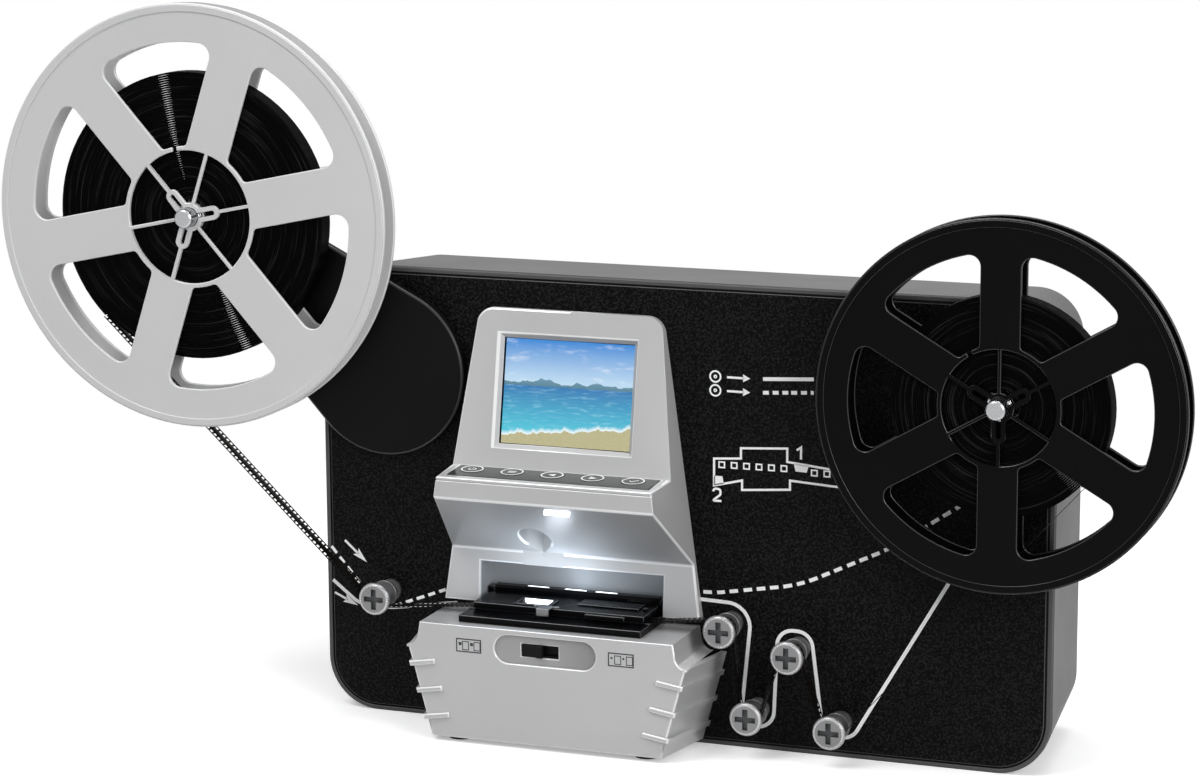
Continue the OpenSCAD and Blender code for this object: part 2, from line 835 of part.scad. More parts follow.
module gate_plate() {
    color("#161617") translate([head_x, 0, 0]) difference() {
        union() {
            translate([-plate_w / 2, -plate_out, base_top_z])
                cube([plate_w, plate_out + plate_back, plate_t]);
            // Ears that hold the hinge pin
            for (x = [-1, 1])
                translate([x * (plate_w - ear_w) / 2 - ear_w / 2, hinge_y - hinge_r, base_top_z])
                cube([ear_w, plate_back - hinge_y + hinge_r, hinge_z + hinge_r - base_top_z]);
            // Raised edges that guide the film
            for (y = [-film_w / 2 - guide_gap - guide_w, film_w / 2 + guide_gap])
                translate([-plate_w / 2, film_y + y, base_top_z]) cube([plate_w, guide_w, plate_t + film_t]);
        }
        translate([-aperture_left - gate_frame_w / 2, film_y - gate_frame_h / 2, base_top_z - cut])
            cube([gate_frame_w, gate_frame_h, plate_t + 2 * cut]);
        claw_opening(base_top_z - cut, plate_t + 2 * cut);
        translate([-plate_w / 2 - cut, hinge_y, hinge_z]) rotate([0, 90, 0])
            cylinder(h = plate_w + 2 * cut, r = pin_r + fit_gap);
    }
}

module gate_hinge_pin() {
    color("#b8babc") translate([head_x - plate_w / 2, hinge_y, hinge_z]) rotate([0, 90, 0])
        cylinder(h = plate_w, r = pin_r);
}

module gate_door() {
    barrel_w = plate_w - 2 * ear_w - 2 * film_gap;
    pad_y = door_back - 0.8 - pad_size[1];
    color("#1a1a1b") translate([head_x, 0, 0]) difference() {
        union() {
            translate([-door_w / 2, -door_out, door_low]) cube([door_w, door_out + door_back, door_t]);
            translate([-barrel_w / 2, door_back - cut, door_low])
                cube([barrel_w, hinge_y - door_back + cut, door_t]);
            translate([-barrel_w / 2, hinge_y, hinge_z]) rotate([0, 90, 0])
                cylinder(h = barrel_w, r = hinge_r);
            // Rail along the hinge
            translate([-barrel_w / 2, hinge_y - hinge_r, hinge_z])
                cube([barrel_w, hinge_r + rail_back, rail_h]);
            // Rim round the picture window, pad over the film and its pin, and the finger grip
            on_window(window_size + 2 * window_rim * [1, 1], door_top - raised, 2 * raised);
            translate([pad_x, pad_y, door_top - raised])
                cube([pad_size[0], pad_size[1], 2 * raised]);
            translate([door_w / 2 - 3, pad_y + 2.4, door_top - raised]) cylinder(h = 2.2 * raised, r = 1.2);
            translate([grip_x, -door_out - grip_size[1], door_low])
                cube([grip_size[0], grip_size[1] + cut, door_t - 0.4]);
        }
        translate([-barrel_w / 2 - cut, hinge_y, hinge_z]) rotate([0, 90, 0])
            cylinder(h = barrel_w + 2 * cut, r = pin_r + run_gap);
        // Picture window, widening upwards
        hull() {
            on_window([gate_frame_w, gate_frame_h], door_low - cut, cut + 0.4);
            on_window(window_size, door_top + raised, cut);
        }
        // Slots over the claw and along the hinge
        claw_opening(door_low - cut, door_t + raised + 2 * cut);
        for (x = hinge_slots)
            translate([x - slot_len / 2, hinge_y - hinge_r + 0.8, hinge_z + rail_h - slot_depth])
            cube([slot_len, hinge_r, slot_depth + cut]);
    }
}

// Block over the picture aperture, drawn from the head's middle
module on_window(size, low, h) {
    translate([-aperture_left - size[0] / 2, film_y - size[1] / 2, low]) cube([size[0], size[1], h]);
}

module gate_latch() {
    fold = 2.4;
    color("#aeb4b8") translate([head_x + latch_x, -door_out, door_top]) {
        translate([-latch_size[0] / 2, -latch_size[1], 0])
            cube([latch_size[0], latch_size[1] + latch_seat, latch_size[2]]);
        translate([-latch_size[0], 0, 0]) cube([2 * latch_size[0], latch_seat, latch_size[2]]);
        translate([-latch_size[0] / 2, -latch_size[1], -fold])
            cube([latch_size[0], latch_size[2], fold + 0.1]);
    }
}

// Film advance

module claw_bracket() {
    color("#9da1a4") difference() {
        union() {
            translate([claw_x - claw_w / 2, bracket_y, cam_z - 9])
                cube([claw_w, bracket_t, base_top_z - head_wall - cam_z + 9]);
            translate([claw_x - claw_w / 2, bracket_y - 5, base_top_z - head_wall - 1.2])
                cube([claw_w, 5.5, 1.2]);
            for (x = claw_guides) rod([claw_x + x, cam_z], bracket_y, claw_y + claw_t + 1, guide_pin_r);
        }
        rod([claw_x, cam_z], bracket_y - cut, bracket_y + bracket_t + cut, 2.5);
    }
}

module film_claw() {
    clear = claw_travel + 0.6;
    color("#c6c9cb") slab(claw_y, claw_y + claw_t) difference() {
        union() {
            translate([claw_x - claw_w / 2, cam_z - 5]) square([claw_w, 10]);
            translate([claw_x - 1, cam_z]) square([2, film_z - film_t / 2 - film_gap - cam_z]);
        }
        for (x = claw_guides) translate([claw_x + x, cam_z])
            oblong(2 * guide_pin_r + clear, 2 * (guide_pin_r + run_gap));
        translate([claw_x, cam_z]) square([2 * claw_travel + 2.4, claw_travel + 2.4], center = true);
    }
}

module claw_cam() {
    color("#d8d2c4") {
        rod([claw_x, cam_z], bracket_y + bracket_t + 0.3, claw_y - 0.3, 4);
        rod([claw_x + claw_travel / 2, cam_z], claw_y - 0.31, claw_y + claw_t, 1);
        rod([claw_x, cam_z], bracket_y - 1, bracket_y + bracket_t + 0.31, 1);
    }
}

module advance_motor() {
    color("#b4b7ba") difference() {
        union() {
            rod([claw_x, cam_z], bracket_y - 12, bracket_y, 8);
            rod([claw_x, cam_z], bracket_y - 13, bracket_y - 12, 3);
        }
        rod([claw_x, cam_z], bracket_y - 1.2, bracket_y + cut, 1 + run_gap);
    }
}

// Guide rollers

module guide_screws() {
    color("#a9adb0") for (r = rollers) difference() {
        union() {
            turned(r, [
                [0, -screw_out], [screw_head_d / 2 - 0.8, -screw_out],
                [screw_head_d / 2, -screw_out + 0.8], [screw_head_d / 2, -screw_out + 2],
                [shank_r, -screw_out + 2.2], [shank_r, cover_t + 3], [0, cover_t + 3]
            ]);
            rod(r, -1.6, 0, 4.6);
            rod(r, cover_t, cover_t + 2.4, nut_r);
        }
        for (a = [0, 90]) translate([r[0], -screw_out, r[1]]) rotate([0, a, 0])
            cube(cross_size, center = true);
    }
}

module guide_roller(i) {
    front = -screw_out + 2.5;
    flange = film_y + film_w / 2 + 0.4;
    color("#b9bcbf") difference() {
        turned(rollers[i], [
            [shank_r + run_gap, front], [roller_r, front], [roller_r, flange], [roller_r + 2, flange],
            [roller_r + 2, flange + 1.2], [roller_r, flange + 2], [roller_r, -1.9], [shank_r + run_gap, -1.9]
        ]);
    }
}

// Supply arm

module arm_outline() {
    drop = asin((arm_lobe_r - arm_tip_r) / arm_len);
    lean = 180 - arm_angle;
    translate(pivot) circle(arm_lobe_r);
    translate(supply) circle(arm_tip_r);
    polygon([
        for (s = [-1, 1]) for (end = s > 0 ? [1, 0] : [0, 1])
            let (a = lean + s * (90 - drop), r = end > 0 ? arm_tip_r : arm_lobe_r)
            (end > 0 ? supply : pivot) + r * [cos(a), sin(a)]
    ]);
}

arm_back = 7.6;

module supply_arm() {
    color("#161617") difference() {
        union() {
            slab(arm_front, -arm_gap) arm_outline();
            rod(pivot, -arm_gap - cut, cover_t + 0.3, pivot_r);
            rod(supply, -arm_gap - cut, arm_back, 11);
        }
        rod(supply, arm_front - cut, arm_back + cut, spindle_d / 2 + run_gap);
        rod(pivot, 0, cover_t + cut, 2);
    }
}

module arm_retainer() {
    color("#8d9194") {
        rod(pivot, cover_t + 0.3, cover_t + 1.8, 15);
        rod(pivot, cover_t + 1.8, cover_t + 4, 4);
        rod(pivot, 0.4, cover_t + 0.4, 1.9);
    }
}

// Three keys round a spindle, or the slots for them
module spindle_keys(r, gap) {
    for (a = [0 : 120 : 240]) rotate(a) translate([0, -0.9 - gap]) square([r + 1.3 + gap, 1.8 + 2 * gap]);
}

module spindle(at, back, turn) {
    tip = reel_front - 6;
    tip_edge = 0.8;
    r = spindle_d / 2;
    color("#c9ccce") {
        turned(at, [[0, tip], [r - tip_edge, tip], [r, tip + tip_edge], [r, back], [0, back]]);
        translate([at[0], 0, at[1]]) rotate([0, -turn, 0]) slab(reel_front + 0.8, reel_back)
            spindle_keys(r, 0);
        rod(at, reel_back + seat_gap, reel_back + 1.1, r + 4);
    }
}

module supply_spindle() {
    spindle(supply, arm_back + 5, supply_turn);
}

module supply_clutch() {
    color("#3a3c3e") difference() {
        union() {
            rod(supply, arm_back + 0.3, arm_back + 2, 10);
            rod(supply, arm_back + 2, arm_back + 4.4, 6);
        }
        rod(supply, arm_back, arm_back + 6, spindle_d / 2 + fit_gap);
    }
}

// Reels

// One window between two spokes, with rounded corners, in the sector round +X
module reel_window(r) {
    inner = r * hub_share;
    outer = r * window_share;
    half = r * spoke_share / 2;
    far = r * 0.06;
    near = r * 0.025;
    difference() {
        intersection() {
            difference() {
                circle(outer);
                circle(inner);
            }
            polygon([[0, 0], r * 2 * [cos(-30), sin(-30)], r * 2 * [cos(30), sin(30)]]);
        }
        for (s = [-1, 1]) rotate(30 * s) {
            translate([0, -half]) square([r, 2 * half]);
            // Rounded corners at the rim and at the hub
            corner(outer - far, half + far, far, -s, 1);
            corner(inner + near, half + near, near, -s, -1);
        }
    }
}

// Waste outside a corner circle of radius c, whose centre lies at distance d and offset off from a spoke
module corner(d, off, c, side, out) {
    along = sqrt(d * d - off * off);
    centre = [along, side * off];
    ray = centre / d;
    difference() {
        polygon([
            centre, [along, side * (off - c)],
            [along + out * c * 1.6, side * (off - c)], centre + out * c * 1.6 * ray
        ]);
        translate(centre) circle(c);
    }
}

module reel_half(at, r, turn, front) {
    face = front ? reel_front : reel_back - flange_t;
    inside = front ? face + flange_t : face;
    middle = film_y + (front ? -0.05 : 0.05);
    edge = front ? face - 0.4 : face + flange_t + 0.4;
    hub_r = r * hub_share;
    translate([at[0], 0, at[1]]) rotate([0, -turn, 0]) difference() {
        union() {
            slab(face, face + flange_t) difference() {
                circle(r);
                circle(hub_r - hub_ring);
                for (i = [0 : 5]) rotate(60 * i + 30) reel_window(r);
                // Slot that takes the film's end
                rotate(90) translate([hub_r - 3, -1]) square([4, 2]);
            }
            // Rolled edge of the flange
            slab(min(edge, inside), max(edge, inside)) difference() {
                circle(r - 0.6);
                circle(r - 3.4);
            }
            // Thin ribs from the hub's ring to the keyed boss
            slab(face, face + flange_t) for (i = [0 : 5]) rotate(60 * i)
                translate([boss_r - 1, -hub_rib_w / 2])
                square([hub_r - hub_ring / 2 - boss_r + 1, hub_rib_w]);
            slab(min(face, middle), max(face + flange_t, middle)) circle(boss_r);
            slab(face, face + flange_t) lobes(lobe_r);
        }
        slab(reel_front - cut, reel_back + cut) {
            circle(spindle_d / 2 + seat_gap);
            spindle_keys(spindle_d / 2, seat_gap);
        }
        // Slots in the lobes
        slab(front ? face - cut : face, front ? face + flange_t : face + flange_t + cut) lobes(lobe_slot);
    }
}

// Three lobes round the spindle, or the slots in them
module lobes(r) {
    for (a = [0 : 120 : 240]) rotate(a) {
        translate([0, -r]) square([lobe_out, 2 * r]);
        translate([lobe_out, 0]) circle(r);
    }
}

// Turn of each reel at rest
supply_turn = 12;
takeup_turn = 30;

module supply_reel_front() {
    color("#c4c6c8") reel_half(supply, supply_r, supply_turn, true);
}

module supply_reel_rear() {
    color("#c4c6c8") reel_half(supply, supply_r, supply_turn, false);
}

module takeup_reel_front() {
    color("#1a1a1b") reel_half(takeup, takeup_r, takeup_turn, true);
}

module takeup_reel_rear() {
    color("#1a1a1b") reel_half(takeup, takeup_r, takeup_turn, false);
}

// Wound film

wind_steps = 20;
turn_room = 0.5;

// Spiral from radius r0 to r1, ending at the angle where the free film leaves
function spiral(r0, r1, end, sense) = [
    for (i = [0 : pack_turns * wind_steps])
        let (s = i / (pack_turns * wind_steps), a = end - sense * 360 * pack_turns * (1 - s))
        (r0 + (r1 - r0) * s) * [cos(a), sin(a)]
];
function reversed(p) = [for (i = [len(p) - 1 : -1 : 0]) p[i]];

module film_pack(at, r0, r1, end, sense) {
    pitch = (r1 - r0) / pack_turns;
    thick = pitch - turn_room;
    color("#121213") translate([at[0], 0, at[1]]) slab(film_y - film_w / 2, film_y + film_w / 2)
        polygon(concat(spiral(r0, r1 - thick, end, sense), reversed(spiral(r0 + thick, r1, end, sense))));
}

supply_pack_r = supply_r * supply_pack_share;
takeup_pack_r = takeup_r * takeup_pack_share;

// Least gap between neighbouring turns of each pack, measured on the drawn points
function turn_gap(r0, r1) =
    let (thick = (r1 - r0) / pack_turns - turn_room,
        outer = spiral(r0 + thick, r1, 0, 1),
        inner = spiral(r0, r1 - thick, 0, 1))
    min([for (i = [0 : len(outer) - 1 - wind_steps]) norm(inner[i + wind_steps] - outer[i])]);
echo(supply_turn_gap = turn_gap(core_r, supply_pack_r), takeup_turn_gap = turn_gap(core_r, takeup_pack_r));

module supply_film() {
    film_pack(supply, core_r, supply_pack_r, route_dir[0] - 90, 1);
}

module takeup_film() {
    film_pack(takeup, core_r, takeup_pack_r, route_dir[len(route_dir) - 1] - 90, -1);
}

// Free film: circles that the film runs round, each a centre, a radius and the side that its centre is on
gate_in = head_x - plate_w / 2 - 0.8;
gate_out = head_x + plate_w / 2 + 0.8;
route = [
    [supply, supply_pack_r + film_gap + film_t / 2, 1],
    [rollers[0], film_r, 1],
    [[gate_in, film_z], 0, -1],
    [[gate_out, film_z], 0, 1],
    [rollers[1], film_r, -1],
    [rollers[2], film_r, 1],
    [rollers[3], film_r, -1],
    [rollers[4], film_r, 1],
    [takeup, takeup_pack_r + film_gap + film_t / 2, 1]
];
// Direction of each straight stretch, and the points where it leaves and meets its circles
route_dir = [
    for (i = [0 : len(route) - 2])
        let (d = route[i + 1][0] - route[i][0],
            off = route[i + 1][2] * route[i + 1][1] - route[i][2] * route[i][1])
        atan2(d[1], d[0]) - asin(off / norm(d))
];
function left_of(a) = [-sin(a), cos(a)];
function on_circle(i, a) = route[i][0] - route[i][2] * route[i][1] * left_of(a);
function bend(i) = let (
    d = route_dir[i] - route_dir[i - 1],
    near = d - 360 * round(d / 360)
) near;
arc_steps = 8;
// Each route point is a place and the film's direction there
function arc_points(i) = [
    for (k = [0 : arc_steps])
        let (a = route_dir[i - 1] + bend(i) * k / arc_steps)
        [on_circle(i, a), a]
];
module ribbon(points) {
    half = film_t / 2;
    slab(film_y - film_w / 2, film_y + film_w / 2) polygon(concat(
        [for (p = points) p[0] + half * left_of(p[1])],
        reversed([for (p = points) p[0] - half * left_of(p[1])])
    ));
}

module film_supply_strand() {
    color("#2a2524") ribbon([
        [on_circle(0, route_dir[0]), route_dir[0]], [on_circle(1, route_dir[0]), route_dir[0]]
    ]);
}

module film_strip() {
    last = len(route) - 1;
    color("#2a2524") ribbon(concat(
        arc_points(1),
        [for (i = [2, 3]) [route[i][0], 0]],
        [for (i = [4 : last - 1]) each arc_points(i)],
        [[on_circle(last, route_dir[last - 1]), route_dir[last - 1]]]
    ));
}

// Take-up drive

module takeup_spindle() {
    spindle(takeup, gear_y + gear_t + 1.5, takeup_turn);
}

module takeup_bush() {
    r = spindle_d / 2 + run_gap;
    color("#c9b27a") difference() {
        union() {
            rod(takeup, -1.2, 0, r + 5);
            rod(takeup, 0, cover_t + 4, bush_r);
        }
        rod(takeup, -1.2 - cut, cover_t + 4 + cut, r);
    }
}

// Spur gear outline with straight flanks and room between the teeth
module gear_outline(teeth, phase) {
    step = 360 / teeth;
    tip = gear_m * (teeth / 2 + 0.85);
    root = gear_m * (teeth / 2 - 1.15);
    polygon([
        for (i = [0 : teeth - 1]) each [
            for (p = [[root, -0.29], [tip, -0.12], [tip, 0.12], [root, 0.29]])
                p[0] * [cos(step * (i + p[1]) + phase), sin(step * (i + p[1]) + phase)]
        ]
    ]);
}

module takeup_gear() {
    color("#e4e0d4") translate([takeup[0], 0, takeup[1]]) slab(gear_y, gear_y + gear_t) difference() {
        gear_outline(gear_teeth, 180 + 180 / gear_teeth);
        circle(spindle_d / 2 + fit_gap);
        for (i = [0 : 5]) rotate(60 * i) translate([0.31 * gear_m * gear_teeth, 0]) circle(1.9);
    }
}

module motor_pinion() {
    color("#c9b27a") translate([motor[0], 0, motor[1]]) slab(gear_y, gear_y + gear_t) difference() {
        gear_outline(pinion_teeth, 0);
        circle(motor_shaft_r + run_gap);
    }
}

module drive_motor() {
    color("#b4b7ba") {
        rod(motor, motor_y + motor_plate_t, motor_y + motor_plate_t + motor_len, motor_r);
        slab(motor_y, motor_y + motor_plate_t + 0.01) {
            translate(motor) circle(motor_r);
            translate([motor[0] - motor_lug / 2, motor[1] - motor_r - motor_lug])
                square([motor_lug, 2 * (motor_r + motor_lug)]);
        }
        rod(motor, gear_y, motor_y + 0.01, motor_shaft_r);
    }
}

// Electronics and ports

module main_board() {
    socket = [20, 5, 6];
    color("#1f5a3a") translate([board_corner[0], board_y, board_corner[1]]) {
        cube([board_w, board_t, board_h]);
        for (c = chips) translate([c[0], -chip_t, c[1]]) cube([c[2], chip_t + 0.1, c[2]]);
        translate([board_hole[0] / 2, -socket[1], board_h / 2 + socket[2]])
            cube(socket + [0, 0.1, 0]);
    }
}

// Sockets stand behind the openings in the back wall
module power_inlet() {
    color("#1d1d1e") difference() {
        rod([inlet_x, ports_z], back_y - 14, back_y - 0.6, inlet_r);
        difference() {
            rod([inlet_x, ports_z], back_y - 11, back_y, 2.9);
            rod([inlet_x, ports_z], back_y - 12, back_y - 2, 1);
        }
    }
}

module usb_port() {
    color("#a9adb0") translate([usb_x, 0, ports_z]) difference() {
        slab(back_y - 10, back_y - 0.5) oblong(usb_size[0], usb_size[1]);
        slab(back_y - 8, back_y) difference() {
            oblong(usb_size[0] - 1.2, usb_size[1] - 1.2);
            square([usb_size[0] - 3, 0.8], center = true);
        }
    }
}

module card_slot() {
    color("#a9adb0") translate([card_x, 0, ports_z]) difference() {
        slab(back_y - 26, back_y - 0.5) square(card_size, center = true);
        slab(back_y - 25, back_y) square(card_size - [1.4, 1.6], center = true);
    }
}

// Origin in the middle of the finished part's box, on the table
module placed() {
    translate([-frame_x, -frame_y, 0]) children();
}

placed() front_cover();
placed() rear_housing();
placed() scan_head();
placed() scan_base();
placed() lcd_panel();
placed() screen_window();
placed() key_strip();
placed() key_board();
placed() main_board();
placed() camera_board();
placed() lens_barrel();
placed() lens_glass();
placed() light_board();
placed() light_diffuser();
placed() gate_plate();
placed() gate_hinge_pin();
placed() gate_door();
placed() gate_latch();
placed() switch_plate();
placed() switch_slider();
placed() guide_screws();
placed() guide_roller(0);  // guide_roller_1
placed() guide_roller(1);  // guide_roller_2
placed() guide_roller(2);  // guide_roller_3
placed() guide_roller(3);  // guide_roller_4
placed() guide_roller(4);  // guide_roller_5
placed() key(0);  // key_power
placed() key(1);  // key_menu
placed() key(2);  // key_left
placed() key(3);  // key_right
placed() key(4);  // key_ok
placed() supply_arm();
placed() arm_retainer();
placed() supply_spindle();
placed() supply_clutch();
placed() supply_reel_front();
placed() supply_reel_rear();
placed() supply_film();
placed() film_supply_strand();
placed() film_strip();
placed() takeup_spindle();
placed() takeup_bush();
placed() takeup_reel_front();
placed() takeup_reel_rear();
placed() takeup_film();
placed() takeup_gear();
placed() motor_pinion();
placed() drive_motor();
placed() film_claw();
placed() claw_cam();
placed() claw_bracket();
placed() advance_motor();
placed() power_inlet();
placed() usb_port();
placed() card_slot();
placed() rubber_feet();
placed() housing_screws();
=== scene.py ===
import json
import math

import bmesh
import bpy
import numpy as np
from mathutils import Matrix, Vector, noise


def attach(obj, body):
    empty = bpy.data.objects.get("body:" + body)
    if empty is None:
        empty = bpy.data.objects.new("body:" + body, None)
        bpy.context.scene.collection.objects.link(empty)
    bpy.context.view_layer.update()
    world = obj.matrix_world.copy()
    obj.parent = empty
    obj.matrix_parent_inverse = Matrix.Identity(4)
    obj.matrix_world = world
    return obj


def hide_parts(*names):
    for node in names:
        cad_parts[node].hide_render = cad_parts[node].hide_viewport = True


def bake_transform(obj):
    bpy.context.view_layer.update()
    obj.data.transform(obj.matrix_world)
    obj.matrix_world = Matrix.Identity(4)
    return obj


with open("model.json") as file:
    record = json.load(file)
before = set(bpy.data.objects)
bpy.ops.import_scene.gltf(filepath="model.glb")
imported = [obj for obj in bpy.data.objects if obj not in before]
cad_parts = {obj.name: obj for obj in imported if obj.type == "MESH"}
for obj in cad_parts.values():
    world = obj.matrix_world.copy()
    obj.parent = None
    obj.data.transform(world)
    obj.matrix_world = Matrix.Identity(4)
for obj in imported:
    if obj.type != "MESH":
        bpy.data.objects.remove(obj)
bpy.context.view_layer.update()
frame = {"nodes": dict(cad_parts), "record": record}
scene = bpy.context.scene
BODY = {n: b for b, ns in frame["record"]["behaviour"]["bodies"].items() for n in ns}
SLOT = {s["node"]: s["material_slot"] for s in frame["record"]["subparts"]}

# Sizes of the part, in millimetres, in the drawing's frame: X from the middle of the cover, Y from its face
FRAME_X, FRAME_Y = 42.515, -19.8
PIVOT = (-125.5, 146.0)
ARM_LEN, ARM_ANGLE = 102, math.radians(37.4)
SUPPLY = (PIVOT[0] - ARM_LEN * math.cos(ARM_ANGLE), PIVOT[1] + ARM_LEN * math.sin(ARM_ANGLE))
TAKEUP = (136.5, 150.3)
SUPPLY_R, TAKEUP_R = 88.0, 73.0
CORE_R = 6.8
SUPPLY_PACK, TAKEUP_PACK = SUPPLY_R * 0.686, TAKEUP_R * 0.60
ROLLERS = [(-126, 52.6), (24, 51.9), (35.3, 17.1), (52.2, 43.8), (69.9, 14.8)]
FILM_Y, FILM_W, FILM_Z, FILM_T, FILM_GAP, ROLLER_R = -11.75, 8.0, 52.6, 0.4, 0.3, 3.5
HOLE_NEAR, HOLE_FAR = 1.7, 3.4
HEAD_X, HEAD_TOP_Z, HEAD_TOP_OUT, HEAD_OUT = -44.4, 175, 2.2, 34
SHELF_Z, SHELF_BACK, SHELF_DROP = 111.6, 14, 1
STRIP_BACK, STRIP_DEPTH = 0.8, 15
KEY_NAMES = ("power", "menu", "left", "right", "ok")
KEY_PITCH, KEYS_LEFT, KEYS_UP = 17.3, 1.1, 2.1
APERTURE_X = HEAD_X - 12
GATE_HALF = 40.1
BASE_OUT, SWITCH_Z = 33.0, 41.25
SCREW_FACE = -18.2
DOOR_LOW, DOOR_TOP, RAIL_TOP, HINGE_Y = 53.1, 55.7, 58.2, 5.2
WINDOW = (13.4, 7.6)
HINGE_SLOTS = (-17.6, -1.2, 12.3)
LIP, CREASE = Vector((-34.4, 101.8)), Vector((-2.6, 74.6))
BORE_REACH, TIP_REACH = 8, 1.5
CROSS_REACH = 4.8
BORE_CUT, TAKEUP_CUT = 9, 1.3
STRIP_T, PRINT_T = 0.18, 0.03
RIM_W = 1


def point(x, y, z):
    return Vector(((x + FRAME_X) / 1000, (y + FRAME_Y) / 1000, z / 1000))


def rgb(code):
    """Linear colour of a hex code."""
    out = []
    for i in (0, 2, 4):
        v = int(code[i:i + 2], 16) / 255
        out.append(v / 12.92 if v <= 0.04045 else ((v + 0.055) / 1.055) ** 2.4)
    return (*out, 1)


# Camera: at the photograph's angle
CAMERA_AT = (0.4991, -1.3140, 0.4148)
AZ, EL, ROLL = math.radians(20.7), math.radians(11.1), math.radians(0.31)
back = Vector((math.sin(AZ) * math.cos(EL), -math.cos(AZ) * math.cos(EL), math.sin(EL)))
right = (-back).cross(Vector((0, 0, 1))).normalized()
down = (-back).cross(right)
cam_x = right * math.cos(ROLL) + down * math.sin(ROLL)
cam_y = back.cross(cam_x)
camera = bpy.data.objects.new("camera", bpy.data.cameras.new("camera"))
camera.data.sensor_fit = "HORIZONTAL"
camera.data.sensor_width = 36
camera.data.lens = 105
camera.data.clip_end = 50
camera.matrix_world = Matrix((
    (cam_x.x, cam_y.x, back.x, CAMERA_AT[0]),
    (cam_x.y, cam_y.y, back.y, CAMERA_AT[1]),
    (cam_x.z, cam_y.z, back.z, CAMERA_AT[2]),
    (0, 0, 0, 1),
))
scene.collection.objects.link(camera)
scene.camera = camera


# Materials

class Graph:
    """A material's node tree with short calls for the nodes used here."""

    def __init__(self, name):
        self.mat = bpy.data.materials.new(name)
        self.mat.use_nodes = True
        self.tree = self.mat.node_tree
        self.shader = self.tree.nodes["Principled BSDF"]

    def add(self, kind, **values):
        node = self.tree.nodes.new(kind)
        for key, value in values.items():
            if hasattr(node, key):
                setattr(node, key, value)
            else:
                node.inputs[key.replace("_", " ")].default_value = value
        return node

    def link(self, a, b):
        self.tree.links.new(a, b)

    def where(self, stretch=(1, 1, 1)):
        coords = self.add("ShaderNodeTexCoord")
        mapping = self.add("ShaderNodeMapping", Scale=stretch)
        self.link(coords.outputs["Object"], mapping.inputs["Vector"])
        return mapping.outputs["Vector"]

    def noise(self, at, scale, detail=4.0, rough=0.55):
        node = self.add("ShaderNodeTexNoise", Scale=scale, Detail=detail, Roughness=rough)
        self.link(at, node.inputs["Vector"])
        return node.outputs["Fac"]

    def cells(self, at, scale, feature):
        node = self.add("ShaderNodeTexVoronoi", feature=feature, Scale=scale)
        self.link(at, node.inputs["Vector"])
        return node.outputs["Distance"]

    def spread(self, value, low, high, start=0.3, stop=0.7):
        node = self.add("ShaderNodeMapRange")
        self.link(value, node.inputs["Value"])
        for name, v in (("From Min", start), ("From Max", stop), ("To Min", low), ("To Max", high)):
            node.inputs[name].default_value = v
        return node.outputs["Result"]

    def math(self, op, a, b):
        node = self.add("ShaderNodeMath", operation=op)
        for i, v in enumerate((a, b)):
            if isinstance(v, (int, float)):
                node.inputs[i].default_value = v
            else:
                self.link(v, node.inputs[i])
        return node.outputs[0]

    def mix(self, fac, a, b):
        node = self.add("ShaderNodeMix", data_type="RGBA")
        for i, v in ((0, fac), (6, a), (7, b)):
            if isinstance(v, (int, float, tuple)):
                node.inputs[i].default_value = v
            else:
                self.link(v, node.inputs[i])
        return node.outputs[2]

    def bump(self, height, strength, distance):
        node = self.add("ShaderNodeBump", Strength=strength, Distance=distance)
        self.link(height, node.inputs["Height"])
        self.link(node.outputs["Normal"], self.shader.inputs["Normal"])

    def to(self, value, socket):
        self.link(value, self.shader.inputs[socket])

    def set(self, **values):
        for key, value in values.items():
            self.shader.inputs[key.replace("_", " ")].default_value = value


def moulded(name, colour, rough=0.4, metal=0.0, vary=0.08, grain=900, depth=0.00004, strength=0.25, coat=0.0,
            stretch=(1, 1, 1), spec=0.5):
    """Moulded or machined surface: slight colour and gloss variation over a fine grain."""
    g = Graph(name)
    at = g.where(stretch)
    broad = g.noise(at, 18, 3)
    fine = g.noise(at, grain, 5, 0.6)
    base = rgb(colour)
    dark = tuple(v * (1 - vary) for v in base[:3]) + (1,)
    light = tuple(min(1, v * (1 + vary)) for v in base[:3]) + (1,)
    g.to(g.mix(g.spread(broad, 0, 1), dark, light), "Base Color")
    g.to(g.spread(g.math("ADD", broad, fine), rough - 0.05, rough + 0.07, 0.7, 1.3), "Roughness")
    g.set(Metallic=metal, Specular_IOR_Level=spec)
    if coat:
        g.set(Coat_Weight=coat, Coat_Roughness=0.14)
    g.bump(fine, strength, depth)
    return g.mat


def painted_shade_recess(colour, dark, x0, x1):
    """Silver floor of a recess, with painted shade that darkens it along X."""
    mat = moulded("recess_silver_painted_shade", colour, 0.4, metal=0.2, vary=0.03, grain=3000, depth=0.00002,
                  strength=0.3)
    tree = mat.node_tree
    split = tree.nodes.new("ShaderNodeSeparateXYZ")
    coords = tree.nodes.new("ShaderNodeTexCoord")
    fade = tree.nodes.new("ShaderNodeMapRange")
    fade.inputs["From Min"].default_value = point(x0, 0, 0).x
    fade.inputs["From Max"].default_value = point(x1, 0, 0).x
    both = tree.nodes.new("ShaderNodeMix")
    both.data_type = "RGBA"
    both.inputs[7].default_value = rgb(dark)
    shader = tree.nodes["Principled BSDF"]
    plain = shader.inputs["Base Color"].links[0].from_socket
    for a, b in ((coords.outputs["Object"], split.inputs[0]), (split.outputs[0], fade.inputs["Value"]),
                 (fade.outputs["Result"], both.inputs[0]), (plain, both.inputs[6]),
                 (both.outputs[2], shader.inputs["Base Color"])):
        tree.links.new(a, b)
    return mat


